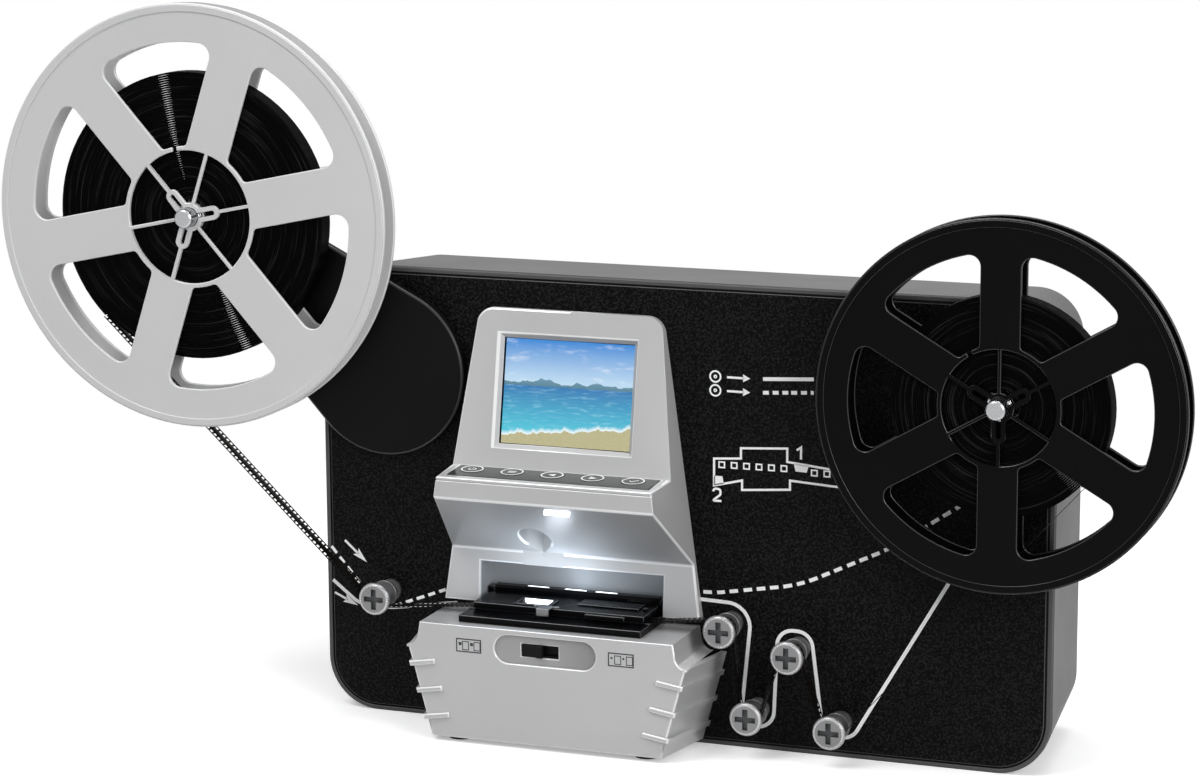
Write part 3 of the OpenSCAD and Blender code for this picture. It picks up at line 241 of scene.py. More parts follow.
def leather_grain():
    """Black plastic with a pebbled grain."""
    g = Graph("grained_black")
    at = g.where()
    warp = g.noise(at, 900, 4, 0.6)
    pebbles = g.cells(at, 1150, "SMOOTH_F1")
    fine = g.noise(at, 2400, 3, 0.6)
    height = g.math("ADD", pebbles, g.math("ADD", warp, g.math("MULTIPLY", fine, 0.5)))
    g.to(g.mix(g.spread(height, 0, 1, 0.92, 1.26), rgb("1f1f20"), rgb("000000")), "Base Color")
    g.to(g.spread(warp, 0.4, 0.58), "Roughness")
    g.set(Specular_IOR_Level=0.06)
    g.bump(height, 0.9, 0.0004)
    return g.mat


ARC_SHARE = 0.02


def winding(name, centre):
    """Edges of many turns of film round a centre: fine rings of uneven depth, tone and gloss, with lighter
    arcs painted in as highlights.
    """
    g = Graph(name)
    coords = g.add("ShaderNodeTexCoord")
    away = g.add("ShaderNodeVectorMath", operation="SUBTRACT")
    away.inputs[1].default_value = point(centre[0], FILM_Y, centre[1])
    flat = g.add("ShaderNodeVectorMath", operation="MULTIPLY")
    flat.inputs[1].default_value = (1, 0, 1)
    radius = g.add("ShaderNodeVectorMath", operation="LENGTH")
    g.link(coords.outputs["Object"], away.inputs[0])
    g.link(away.outputs[0], flat.inputs[0])
    g.link(flat.outputs[0], radius.inputs[0])
    along = g.add("ShaderNodeCombineXYZ")
    g.link(radius.outputs["Value"], along.inputs[0])
    sides = g.add("ShaderNodeSeparateXYZ")
    g.link(flat.outputs[0], sides.inputs[0])
    for socket, axis in ((1, 0), (2, 2)):
        g.link(g.math("MULTIPLY", sides.outputs[axis], ARC_SHARE), along.inputs[socket])
    rings = g.noise(along.outputs[0], 1100, 4, 0.7)
    broad = g.noise(along.outputs[0], 130, 2)
    # The rings vary in tone, and the lighter arcs among them are painted highlights: glints on the film's
    # edges
    g.to(g.mix(g.spread(rings, 0, 1, 0.54, 0.72), rgb("010101"), rgb("2e2e2f")), "Base Color")
    g.to(g.spread(g.math("ADD", rings, broad), 0.56, 0.76, 0.7, 1.3), "Roughness")
    g.set(Specular_IOR_Level=0.03)
    g.bump(rings, 0.35, 0.0005)
    return g.mat


def lit_screen():
    """A lake between hills under a summer sky, drawn in the picture's own coordinates."""
    g = Graph("screen_picture")
    uv = g.add("ShaderNodeUVMap", uv_map="picture")
    split = g.add("ShaderNodeSeparateXYZ")
    g.link(uv.outputs["UV"], split.inputs[0])
    u, v = split.outputs[0], split.outputs[1]
    stretched = g.add("ShaderNodeMapping", Scale=(2.2, 6, 1))
    g.link(uv.outputs["UV"], stretched.inputs["Vector"])
    clouds = g.noise(stretched.outputs[0], 1.6, 6, 0.6)
    sky = g.mix(g.spread(v, 0, 1, 0.52, 1.0), rgb("cbe6f2"), rgb("1c80cf"))
    sky = g.mix(g.spread(clouds, 0, 0.6, 0.55, 0.74), sky, rgb("f4f8fb"))
    line = g.add("ShaderNodeMapping", Scale=(5, 0.01, 1))
    g.link(uv.outputs["UV"], line.inputs["Vector"])
    ridge = g.math("ADD", g.math("MULTIPLY", g.noise(line.outputs[0], 1.0, 5, 0.55), 0.26), 0.47)
    far = g.math("LESS_THAN", v, ridge)
    picture = g.mix(far, sky, g.mix(g.spread(v, 0, 1, 0.5, 0.68), rgb("2f6472"), rgb("6f9db4")))
    bank = g.math("MULTIPLY", g.noise(line.outputs[0], 2.3, 5, 0.6), 0.16)
    bank = g.math("ADD", bank, g.math("MULTIPLY", u, 0.12))
    near = g.math("LESS_THAN", v, bank)
    foam = g.spread(g.math("SUBTRACT", v, bank), 1, 0, 0.004, 0.045)
    water_at = g.add("ShaderNodeMapping", Scale=(6, 26, 1))
    g.link(uv.outputs["UV"], water_at.inputs["Vector"])
    ripple = g.noise(water_at.outputs[0], 1.5, 4, 0.6)
    water = g.mix(g.spread(v, 0, 1, 0.12, 0.56), rgb("45c3d6"), rgb("0f6fae"))
    water = g.mix(g.spread(ripple, 0, 0.45, 0.52, 0.72), water, rgb("a8e2ea"))
    water = g.mix(foam, water, rgb("eef7f8"))
    picture = g.mix(g.math("LESS_THAN", v, 0.56), picture, water)
    shore = g.mix(g.noise(stretched.outputs[0], 14, 5, 0.7), rgb("d8c49c"), rgb("8f9a62"))
    picture = g.mix(near, picture, shore)
    g.set(Base_Color=(0.01, 0.01, 0.012, 1), Roughness=0.25, Emission_Strength=1.0)
    g.to(picture, "Emission Color")
    return g.mat


def glowing(name, colour, strength):
    g = Graph(name)
    g.set(Base_Color=(0.8, 0.82, 0.85, 1), Emission_Strength=strength)
    at = g.where()
    g.to(g.mix(g.spread(g.noise(at, 300), 0, 1), rgb(colour), rgb("ffffff")), "Emission Color")
    return g.mat


def clear(name, tint, bend):
    g = Graph(name)
    g.set(Base_Color=tint, Transmission_Weight=1.0, IOR=bend)
    g.to(g.spread(g.noise(g.where(), 40), 0.02, 0.04), "Roughness")
    return g.mat


def printed(name, colour):
    g = Graph(name)
    at = g.where()
    ink = rgb(colour)
    worn = tuple(0.92 * c for c in ink[:3]) + (1,)
    g.to(g.mix(g.spread(g.noise(at, 500), 0, 1), ink, worn), "Base Color")
    g.set(Roughness=0.5)
    return g.mat


def film_base():
    """Glossy dark film, with a faint frame in each period of its length."""
    g = Graph("film")
    uv = g.add("ShaderNodeUVMap", uv_map="film")
    split = g.add("ShaderNodeSeparateXYZ")
    g.link(uv.outputs["UV"], split.inputs[0])
    cycle = g.math("FRACT", split.outputs[0], 0.0)
    along = g.math("GREATER_THAN", cycle, 0.14)
    across = g.math("GREATER_THAN", split.outputs[1], 0.34)
    frame_on = g.math("MULTIPLY", along, across)
    shade = g.mix(g.noise(g.where(), 700, 4, 0.6), rgb("0b0a0a"), rgb("17120f"))
    g.to(g.mix(frame_on, rgb("0e0d0d"), shade), "Base Color")
    g.to(g.spread(g.noise(g.where(), 90), 0.34, 0.46), "Roughness")
    g.set(Specular_IOR_Level=0.04)
    return g.mat


GRAIN = leather_grain()
BLACK = moulded("satin_black", "0e0e0f", 0.42, vary=0.15, grain=1400, spec=0.1)
ARM = moulded("arm_black", "0c0c0d", 0.4, vary=0.12, grain=2200, depth=0.00002, spec=0.07)
GREY = moulded("housing_grey", "49494a", 0.46, vary=0.04, grain=2600, depth=0.00005, strength=0.4, spec=0.3)
SILVER = moulded("silver_plastic", "b9b9ba", 0.34, metal=0.2, vary=0.03, grain=3000, depth=0.00002,
                 strength=0.3, coat=0.3)
PALE_REEL = moulded("pale_reel", "d4d4d5", 0.36, vary=0.02, grain=1500, depth=0.00001, strength=0.2)
DARK_REEL = moulded("dark_reel", "090909", 0.26, vary=0.15, grain=1500, depth=0.00001, strength=0.2,
                    spec=0.05)
STEEL = moulded("screw_steel", "7c7c7d", 0.36, metal=0.75, vary=0.06, grain=1800, depth=0.00003,
                strength=0.35)
# Darker steel: painted shade for the screws' cross recesses
CROSS_SHADE_STEEL = moulded("cross_recess_painted_shade", "464748", 0.5, metal=0.4, vary=0.1, grain=1800)
CHROME = moulded("spindle_chrome", "b2b4b6", 0.26, metal=1.0, vary=0.03, grain=1200, depth=0.000005)
SHEET = moulded("sheet_steel", "b5b8ba", 0.32, metal=0.9, vary=0.05, grain=900, stretch=(1, 8, 8))
BRASS = moulded("brass", "b08d4a", 0.3, metal=1.0, vary=0.06)
NYLON = moulded("nylon", "d9d4c6", 0.5, vary=0.04)
BOARD = moulded("circuit_green", "1f5a3a", 0.35, vary=0.15, grain=600)
WHITE_BOARD = moulded("board_white", "dcdcd6", 0.4, vary=0.03)
RUBBER = moulded("rubber", "1c1c1c", 0.8, vary=0.1, grain=900, depth=0.0001)
GATE = moulded("gate_black", "060607", 0.24, vary=0.15, grain=1600, depth=0.00001, spec=0.06)
STRIP = moulded("key_gloss", "353936", 0.16, vary=0.06, grain=900, depth=0.000004, spec=0.12)
KEYS = moulded("key_cap", "3b403c", 0.22, vary=0.06, grain=900, depth=0.000004, spec=0.12)
# Lighter colours for the rounded edges: painted highlights along them
SILVER_EDGE_HIGHLIGHT = moulded("silver_edge_highlight", "e6e6e7", 0.24, metal=0.2, vary=0.02, grain=3000, depth=0.00001,
                      coat=0.4)
HEAD_EDGE_HIGHLIGHT = moulded("head_edge_highlight", "f2f2f3", 0.22, metal=0.1, vary=0.01, grain=3000, depth=0.00001, coat=0.6)
PALE_EDGE_HIGHLIGHT = moulded("pale_reel_edge_highlight", "e8e8e8", 0.26, vary=0.02, grain=1500, depth=0.00001)
DARK_EDGE_HIGHLIGHT = moulded("dark_reel_edge_highlight", "2a2a2b", 0.24, vary=0.1, grain=1500, depth=0.00001, spec=0.4)
COVER_EDGE_HIGHLIGHT = moulded("cover_edge_highlight", "4a4a4b", 0.34, vary=0.08, grain=1500, depth=0.00001, spec=0.3)
ARM_EDGE_HIGHLIGHT = moulded("arm_edge_highlight", "2c2c2d", 0.3, vary=0.1, grain=1500, depth=0.00001, spec=0.3)
GATE_EDGE_HIGHLIGHT = moulded("gate_edge_highlight", "26282b", 0.2, vary=0.1, grain=1600, depth=0.00001, spec=0.5)
STEEL_EDGE_HIGHLIGHT = moulded("screw_edge_highlight", "b4b4b5", 0.26, metal=0.7, vary=0.04, grain=1800, depth=0.00001)
# Painted shade on the floor of the switch's recess
RECESS_SHADE = painted_shade_recess("9c9c9d", "838384", HEAD_X + 2, HEAD_X + 23)
# Painted shade for the pocket behind the gate
POCKET_SHADE = moulded("pocket_silver_painted_shade", "858586", 0.4, metal=0.2, vary=0.03, grain=3000, depth=0.00002,
                 strength=0.3)
SUPPLY_WINDING = winding("supply_winding", SUPPLY)
TAKEUP_WINDING = winding("takeup_winding", TAKEUP)
FILM = film_base()
INK = printed("white_print", "ffffff")
DARK_INK = printed("dark_print", "2b2c2d")
PICTURE = lit_screen()
GLASS = clear("window", (0.97, 0.98, 1, 1), 1.12)
LENS = clear("lens", (0.82, 0.88, 0.95, 1), 1.3)
GLOW = glowing("lamp_glow", "c4dcff", 8.0)
LAMP = glowing("bay_lamp", "d2e5ff", 5.0)
# Glow for painted light on a wall and in slots, where there is no lamp
PAINTED_GLOW = glowing("painted_light_glow", "eaf3ff", 1.6)

BY_SLOT = {
    "cover_black": BLACK, "housing_gray": GREY, "silver_plastic": SILVER, "arm_black": ARM,
    "reel_gray": PALE_REEL, "reel_black": DARK_REEL, "film_black": FILM, "key_gloss": KEYS,
    "screen_lit": BLACK, "clear_window": GLASS, "gate_black": GATE, "control_black": BLACK,
    "screw_steel": STEEL, "spindle_chrome": CHROME, "sheet_steel": SHEET, "bearing_brass": BRASS,
    "gear_nylon": NYLON, "circuit_green": BOARD, "board_white": WHITE_BOARD, "diffuser_white": GLOW,
    "foot_rubber": RUBBER,
}
for name, obj in frame["nodes"].items():
    obj.data.materials.clear()
    obj.data.materials.append(BY_SLOT[SLOT[name]])
frame["nodes"]["lens_glass"].data.materials[0] = LENS
frame["nodes"]["key_strip"].data.materials[0] = STRIP


# Pieces that stand for CAD nodes, with softened edges

def piece(name, mesh, body, slot, *materials):
    """A visual piece that rides on a body, with the given materials; the slot argument is not used."""
    obj = bpy.data.objects.new(name, mesh)
    scene.collection.objects.link(obj)
    for m in materials:
        mesh.materials.append(m)
    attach(obj, body)
    return obj


ROOM_SHARE, CORNER_SHARE, SIDE_SHARE = 0.4, 0.45, 0.9
SETTLE_REACH, SETTLE_TRIES = 1.5, 7
OVERRUN = -1e-11
ON_CUT = 1e-6


def room(edge):
    """The lesser reach, square to an edge, of the two faces that meet at it."""
    start = edge.verts[0].co
    along = (edge.verts[1].co - start).normalized()
    return min(max((v.co - start).cross(along).length for v in f.verts) for f in edge.link_faces)


def at_cover(spot):
    """Whether a point lies against the front cover."""
    return spot.y > point(0, -0.1, 0).y


def in_head(spot):
    """Whether a point of the head lies in the lens's bore, at its tip or in the hollow under the keys."""
    x, y, z = spot.x * 1000 - FRAME_X, spot.y * 1000 - FRAME_Y, spot.z * 1000
    slope_z = LIP.y + (y - LIP.x) / (CREASE.x - LIP.x) * (CREASE.y - LIP.y)
    bore = abs(x - APERTURE_X) < BORE_REACH and slope_z + 1 < z < SHELF_Z - 10
    tip = abs(x - APERTURE_X) < TIP_REACH and z < CREASE.y + 3
    hollow = LIP.x + 2 < y < -6 and LIP.y < z < SHELF_Z - 3
    return bore or tip or hollow


def inner(edge):
    return not edge.is_convex


def kept_on_base(edge):
    return inner(edge) or any(at_cover(v.co) for v in edge.verts)


def kept_on_head(edge):
    crease = all(abs(v.co.z * 1000 - CREASE.y) < 0.3 for v in edge.verts)
    return inner(edge) and not crease or any(at_cover(v.co) or in_head(v.co) for v in edge.verts)


def kept_on_screws(edge):
    """The cross recesses and the shanks keep their edges."""
    spot = edge.verts[0].co
    off = min(math.hypot(spot.x - p.x, spot.z - p.z) for p in (point(x, 0, z) for x, z in ROLLERS))
    return inner(edge) or off * 1000 < CROSS_REACH


def roundings(bm, width, angle, kept):
    """How far each sharp edge that isn't kept is rounded: the width, or what its neighbours leave free."""
    out = {}
    for e in bm.edges:
        if len(e.link_faces) == 2 and e.calc_face_angle() > angle and not kept(e):
            out[e] = min(width, ROOM_SHARE * room(e))
    for loop in (v for f in bm.faces for v in f.loops if v.is_convex):
        pair = (loop.link_loop_prev.edge, loop.edge)
        corner = loop.calc_angle()
        most = CORNER_SHARE * min(e.calc_length() for e in pair) * math.tan(corner / 2)
        for e, other in (pair, pair[::-1]):
            if e in out and other in out:
                out[e] = min(out[e], most)
            elif e in out:
                out[e] = min(out[e], SIDE_SHARE * other.calc_length() * math.sin(corner))
    return out


def values(items, key, kind, width=1):
    """One property of all the items, as an array with a row for each."""
    out = np.empty(len(items) * width, kind)
    items.foreach_get(key, out)
    return out.reshape(-1, width)


def overrun(mesh):
    """Corners of triangles that look against their own face, where a rounding ran over itself."""
    mesh.calc_loop_triangles()
    triangles = mesh.loop_triangles
    corners = values(mesh.vertices, "co", np.float32, 3)[values(triangles, "vertices", np.int32, 3)]
    owner = values(triangles, "polygon_index", np.int32)[:, 0]
    facing = values(mesh.polygons, "normal", np.float32, 3)[owner]
    turn = np.cross(corners[:, 1] - corners[:, 0], corners[:, 2] - corners[:, 0])
    return corners[(turn * facing).sum(1) < OVERRUN].reshape(-1, 3)


def beside(mesh, spots, reach):
    """Which edges of a mesh come within reach of any of the spots."""
    ends = values(mesh.vertices, "co", np.float32, 3)[values(mesh.edges, "vertices", np.int32, 2)]
    ends = ends[:, :, None]
    start, run = ends[:, 0], ends[:, 1] - ends[:, 0]
    off = spots[None] - start
    share = np.clip((off * run).sum(2) / (run * run).sum(2), 0, 1)
    return (np.linalg.norm(off - share[:, :, None] * run, axis=2) < reach).any(1)


def settle(obj, width):
    """Narrows the roundings beside faces that ran over themselves."""
    reach = SETTLE_REACH * width / 1000
    weights = obj.data.attributes["bevel_weight_edge"].data
    for k in range(SETTLE_TRIES):
        shown = obj.evaluated_get(bpy.context.evaluated_depsgraph_get())
        spots = overrun(shown.to_mesh())
        shown.to_mesh_clear()
        if not len(spots):
            return
        for i in np.flatnonzero(beside(obj.data, spots, reach)):
            weights[i].value *= 0.5 if k < SETTLE_TRIES - 2 else 0
        obj.data.update()
        obj.update_tag()


def soften(obj, width, segments, angle, kept):
    """Rounds the sharp edges of a piece, as far as their neighbours leave room."""
    bm = bmesh.new()
    bm.from_mesh(obj.data)
    weight = bm.edges.layers.float.new("bevel_weight_edge")
    for e, reach in roundings(bm, width / 1000, math.radians(angle), kept).items():
        e[weight] = reach / (width / 1000)
    bm.to_mesh(obj.data)
    bm.free()
    mod = obj.modifiers.new("edge", "BEVEL")
    mod.width = width / 1000
    mod.segments = segments
    mod.limit_method = "WEIGHT"
    mod.use_clamp_overlap = False
    mod.loop_slide = False
    settle(obj, width)


def even_out(mesh, planes):
    """Gives the two halves of an edge that a cut split the lesser of their roundings."""
    weights = mesh.attributes["bevel_weight_edge"].data
    met = {}
    for e in mesh.edges:
        ends = [mesh.vertices[i].co for i in e.vertices]
        for i, here, there in zip(e.vertices, ends, ends[::-1]):
            if any(abs(here.x - p.x) < ON_CUT < abs(there.x - p.x) for p in planes):
                met.setdefault(i, []).append((weights[e.index], (there - here).normalized()))
    halves = [pair for pair in met.values() if len(pair) == 2 and pair[0][1].dot(pair[1][1]) < -0.9999]
    for pair in halves * len(planes):
        low = min(w.value for w, _ in pair)
        for w, _ in pair:
            w.value = low or w.value


def under_lip(item):
    """Whether a point, edge or face lies wholly below the head's lip."""
    return all(v.co.z * 1000 < LIP.y - 1 for v in getattr(item, "verts", (item,)))


def dress(node, width, segments=2, material=None, angle=32, edge=None, kept=inner, cuts=(), low_cuts=()):
    """The node's own shape, welded, with its flat faces joined and its edges rounded; where an edge material
    is given, the rounded faces take it as a painted highlight.

    Cuts at given places along X split faces that have holes, all over or under the head's lip only.
    """
    bm = bmesh.new()
    bm.from_mesh(frame["nodes"][node].data)
    bmesh.ops.remove_doubles(bm, verts=bm.verts, dist=2e-6)
    planes = [point(x, 0, 0) for x in (*cuts, *low_cuts)]
    for k, p in enumerate(planes):
        geom = bm.verts[:] + bm.edges[:] + bm.faces[:]
        if k >= len(cuts):
            geom = [item for item in geom if under_lip(item)]
        bmesh.ops.bisect_plane(bm, geom=geom, dist=1e-7, plane_co=p, plane_no=(1, 0, 0))
    free = [e for e in bm.edges
            if not any(all(abs(v.co.x - p.x) < ON_CUT for v in e.verts) for p in planes)]
    bmesh.ops.dissolve_limit(bm, angle_limit=math.radians(0.6), verts=bm.verts, edges=free)
    mesh = bpy.data.meshes.new(node + "_skin")
    bm.to_mesh(mesh)
    bm.free()
    mesh.shade_smooth()
    mesh.set_sharp_from_angle(angle=math.radians(angle))
    obj = piece(node + "_skin", mesh, BODY[node], SLOT[node], material or BY_SLOT[SLOT[node]])
    if width:
        soften(obj, width, segments, angle, kept)
        even_out(mesh, planes)
        settle(obj, width)
    flat = obj.modifiers.new("flat_faces", "WEIGHTED_NORMAL")
    flat.weight = 100
    flat.keep_sharp = True
    # The rounded faces take the lighter edge material: a painted highlight
    if edge:
        mesh.materials.append(edge)
        obj.modifiers["edge"].material = len(mesh.materials) - 1
    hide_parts(node)
    return obj


cover = dress("front_cover", 0.5, 3, edge=COVER_EDGE_HIGHLIGHT)
cover.data.materials.append(GRAIN)
face_y = min(v.co.y for v in cover.data.vertices)
left_x = min(v.co.x for v in cover.data.vertices) + RIM_W / 1000
right_x = max(v.co.x for v in cover.data.vertices) - RIM_W / 1000
# The field inside the groove is grained, and the rim round it is smooth, in the lighter edge colour as a
# painted highlight
for face in cover.data.polygons:
    if face.normal.y < -0.9 and face.center.y < face_y + 0.0001:
        spots = [cover.data.vertices[i].co.x for i in face.vertices]
        face.material_index = 2 if left_x < min(spots) and max(spots) < right_x else 1
dress("rear_housing", 0, angle=40)
head = dress("scan_head", 0.8, 3, edge=HEAD_EDGE_HIGHLIGHT, kept=kept_on_head, cuts=(HEAD_X, APERTURE_X),
             low_cuts=(APERTURE_X - BORE_CUT, APERTURE_X + BORE_CUT))
head.data.materials.append(POCKET_SHADE)
# The pocket behind the gate is painted darker as shade, and the wall between it and the crease is flat
POCKET_HALF, POCKET_NEAR, POCKET_FAR, POCKET_TOP = 41, 1, 11, 17
WALL_OFF, WALL_LOW, WALL_TOP = 4, 16, 22
for face in head.data.polygons:
    x, y, z = (face.center - point(HEAD_X, 0, FILM_Z)) * 1000
    if abs(x) < POCKET_HALF and POCKET_NEAR < y < POCKET_FAR and z < POCKET_TOP:
        face.material_index = 2
    if face.normal.y < -0.9 and abs(y) < WALL_OFF and WALL_LOW < z < WALL_TOP:
        face.use_smooth = False
base = dress("scan_base", 0.6, 3, edge=SILVER_EDGE_HIGHLIGHT, kept=kept_on_base, cuts=(HEAD_X,))
base.data.materials.append(RECESS_SHADE)
# The floor of the switch's recess gets painted shade that darkens along X, and the ribs along the sides take
# the lighter edge colour as a painted highlight
RECESS_HALF_W, RECESS_HALF_H, RECESS_NEAR, RECESS_FAR = 22, 6, 0.2, 4
RIB_DEEP, RIB_T = 4, 3
for face in base.data.polygons:
    x, y, z = (face.center - point(HEAD_X, -BASE_OUT, SWITCH_Z)) * 1000
    floor = face.normal.y < -0.9 and RECESS_NEAR < y < RECESS_FAR
    if floor and abs(x) < RECESS_HALF_W and abs(z) < RECESS_HALF_H:
        face.material_index = 2
    spots = [base.data.vertices[i].co * 1000 for i in face.vertices]
    wide, deep, tall = (max(c[k] for c in spots) - min(c[k] for c in spots) for k in range(3))
    rib = deep > RIB_DEEP and tall < RIB_T and wide < RIB_T and z < 0
    if rib and (abs(face.normal.x) > 0.5 or face.normal.z > 0.5):
        face.material_index = 1
dress("supply_arm", 0.9, 3, edge=ARM_EDGE_HIGHLIGHT)
for n in ("front", "rear"):
    dress("supply_reel_" + n, 0.35, 2, edge=PALE_EDGE_HIGHLIGHT, cuts=(SUPPLY[0],))
    dress("takeup_reel_" + n, 0.35, 2, edge=DARK_EDGE_HIGHLIGHT, cuts=(TAKEUP[0] + TAKEUP_CUT,))
for n in ("supply_spindle", "takeup_spindle"):
    dress(n, 0.25, 2)
screws = dress("guide_screws", 0.5, 3, edge=STEEL_EDGE_HIGHLIGHT, kept=kept_on_screws)
# The cross recesses take a darker steel: painted shade in the hollows
screws.data.materials.append(CROSS_SHADE_STEEL)
for face in screws.data.polygons:
    depth = min((face.center - point(x, SCREW_FACE, z)).length for x, z in ROLLERS)
    if 0.4 < depth * 1000 < CROSS_REACH and face.center.y > point(0, SCREW_FACE + 0.1, 0).y:
        face.material_index = 2
for i in range(1, 6):
    dress("guide_roller_%d" % i, 0.2, 2)
dress("gate_plate", 0.3, 2, edge=GATE_EDGE_HIGHLIGHT)
dress("gate_door", 0.3, 2, edge=GATE_EDGE_HIGHLIGHT, cuts=[APERTURE_X] + [HEAD_X + x for x in HINGE_SLOTS])
dress("gate_latch", 0.3, 2, STEEL)
dress("switch_slider", 0.25, 2)
dress("key_strip", 0.15, 2, STRIP)
for n in KEY_NAMES:
    dress("key_" + n, 0.2, 2, KEYS)


# Wound and free film

def film_mesh(name, sections):
    """A solid strip from cross sections of four points each."""
    bm = bmesh.new()
    rows = [[bm.verts.new(p) for p in section] for section in sections]
    for a, b in zip(rows, rows[1:]):
        for k in range(4):
            bm.faces.new((a[k], a[(k + 1) % 4], b[(k + 1) % 4], b[k]))
    bm.faces.new(rows[0])
    bm.faces.new(rows[-1][::-1])
    bmesh.ops.recalc_face_normals(bm, faces=bm.faces)
    mesh = bpy.data.meshes.new(name)
    bm.to_mesh(mesh)
    bm.free()
    mesh.shade_smooth()
    mesh.set_sharp_from_angle(angle=math.radians(35))
    return mesh


def wound(name, centre, r1, turns, end, sense, body, material, seed):
    """One unbroken spiral; each turn sits a little in front of or behind its neighbours."""
    steps = 84
    pitch = (r1 - CORE_R) / turns
    sections = []
    for i in range(turns * steps + 1):
        share = i / (turns * steps)
        a = math.radians(end) - sense * 2 * math.pi * turns * (1 - share)
        r = CORE_R + (r1 - pitch - CORE_R) * share
        turn = i / steps
        shift = 0.34 * noise.noise(Vector((turn * 0.83, seed, 0)))
        shift += 0.12 * noise.noise(Vector((turn * 3.1, math.cos(a), seed)))
        outer, half = r + pitch * 0.78, FILM_W / 2
        row = []
        for radius, y in ((r, -half), (outer, -half), (outer, half), (r, half)):
            depth = FILM_Y + y * 0.96 + shift * 0.5
            row.append(point(centre[0] + radius * math.cos(a), depth, centre[1] + radius * math.sin(a)))
        sections.append(row)
    obj = piece(name, film_mesh(name, sections), body, "film_black", material)
    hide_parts(name.replace("_winding", ""))


FILM_R = ROLLER_R + FILM_GAP + FILM_T / 2
ROUTE = [
    (SUPPLY, SUPPLY_PACK + FILM_GAP + FILM_T / 2, 1), (ROLLERS[0], FILM_R, 1),
    ((HEAD_X - GATE_HALF, FILM_Z), 0, -1), ((HEAD_X + GATE_HALF, FILM_Z), 0, 1),
    (ROLLERS[1], FILM_R, -1), (ROLLERS[2], FILM_R, 1), (ROLLERS[3], FILM_R, -1), (ROLLERS[4], FILM_R, 1),
    (TAKEUP, TAKEUP_PACK + FILM_GAP + FILM_T / 2, 1),
]
HEADING = []
for (p, r, s), (q, t, w) in zip(ROUTE, ROUTE[1:]):
    d = (q[0] - p[0], q[1] - p[1])
    HEADING.append(math.atan2(d[1], d[0]) - math.asin((w * t - s * r) / math.hypot(*d)))


def on_circle(i, a):
    (x, z), r, s = ROUTE[i]
    return (x + s * r * math.sin(a), z - s * r * math.cos(a))


def film_line(first, last):
    """Points of the film's middle line and its heading, from one circle to another."""
    out = [(on_circle(first, HEADING[first]), HEADING[first])] if first == 0 else []
    for i in range(max(first, 1), last + 1):
        if i == len(ROUTE) - 1:
            out.append((on_circle(i, HEADING[i - 1]), HEADING[i - 1]))
            break
        turn = (HEADING[i] - HEADING[i - 1] + math.pi) % (2 * math.pi) - math.pi
        if first == 0:
            out.append((on_circle(i, HEADING[i - 1]), HEADING[i - 1]))
            break
        for k in range(13):
            a = HEADING[i - 1] + turn * k / 12
            out.append((on_circle(i, a), a))
    return out


PITCH, HOLE = 2.2, 1.3


def perforated(name, line):
    """A strip of film along a line, with a hole at each edge in every period of its length."""
    lengths = [0.0]
    for (p, _), (q, _) in zip(line, line[1:]):
        lengths.append(lengths[-1] + math.dist(p, q))
    stops = sorted({0.0, lengths[-1]} | {
        round(k * PITCH + o, 5) for k in range(int(lengths[-1] / PITCH) + 2)
        for o in (0, HOLE) if 0 < k * PITCH + o < lengths[-1]})
    half = FILM_W / 2
    across = (-half, -HOLE_FAR, -HOLE_NEAR, HOLE_NEAR, HOLE_FAR, half)
    bm = bmesh.new()
    layer = bm.loops.layers.uv.new("film")
    rows, j = [], 0
    for s in stops:
        while j < len(lengths) - 2 and lengths[j + 1] < s:
            j += 1
        f = (s - lengths[j]) / max(1e-9, lengths[j + 1] - lengths[j])
        x = line[j][0][0] + f * (line[j + 1][0][0] - line[j][0][0])
        z = line[j][0][1] + f * (line[j + 1][0][1] - line[j][0][1])
        rows.append((s, [bm.verts.new(point(x, FILM_Y + y, z)) for y in across]))
    for (s, a), (t, b) in zip(rows, rows[1:]):
        for k in range(5):
            if k in (1, 3) and (s + t) / 2 % PITCH < HOLE:
                continue
            face = bm.faces.new((a[k], a[k + 1], b[k + 1], b[k]))
            for loop, (u, v) in zip(face.loops, ((s, k), (s, k + 1), (t, k + 1), (t, k))):
                loop[layer].uv = (u / PITCH, (across[v] + half) / FILM_W)
    mesh = bpy.data.meshes.new(name)
    bm.to_mesh(mesh)
    bm.free()
    mesh.shade_smooth()
    return mesh


wound("supply_film_winding", SUPPLY, SUPPLY_PACK, 56, math.degrees(HEADING[0]) - 90, 1,
      "supply_reel", SUPPLY_WINDING, 3.1)
wound("takeup_film_winding", TAKEUP, TAKEUP_PACK, 44, math.degrees(HEADING[-1]) - 90, -1,
      "takeup_reel", TAKEUP_WINDING, 7.7)
strip = piece("film_strip_perforated", perforated("film_strip_perforated", film_line(1, 8)),
              "housing", "film_black", FILM)
strand_line = film_line(0, 1)
strand = bpy.data.objects.new("film_strand_perforated", perforated("film_strand_perforated", strand_line))
scene.collection.objects.link(strand)
strand.data.materials.append(FILM)
for obj, node in ((strip, "film_strip"), (strand, "film_supply_strand")):
    mod = obj.modifiers.new("thickness", "SOLIDIFY")
    mod.thickness = STRIP_T / 1000
    mod.offset = 0
    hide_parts(node)
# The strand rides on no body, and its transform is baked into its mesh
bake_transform(strand)


# Flat print, drawn as thin ribbons in a plane

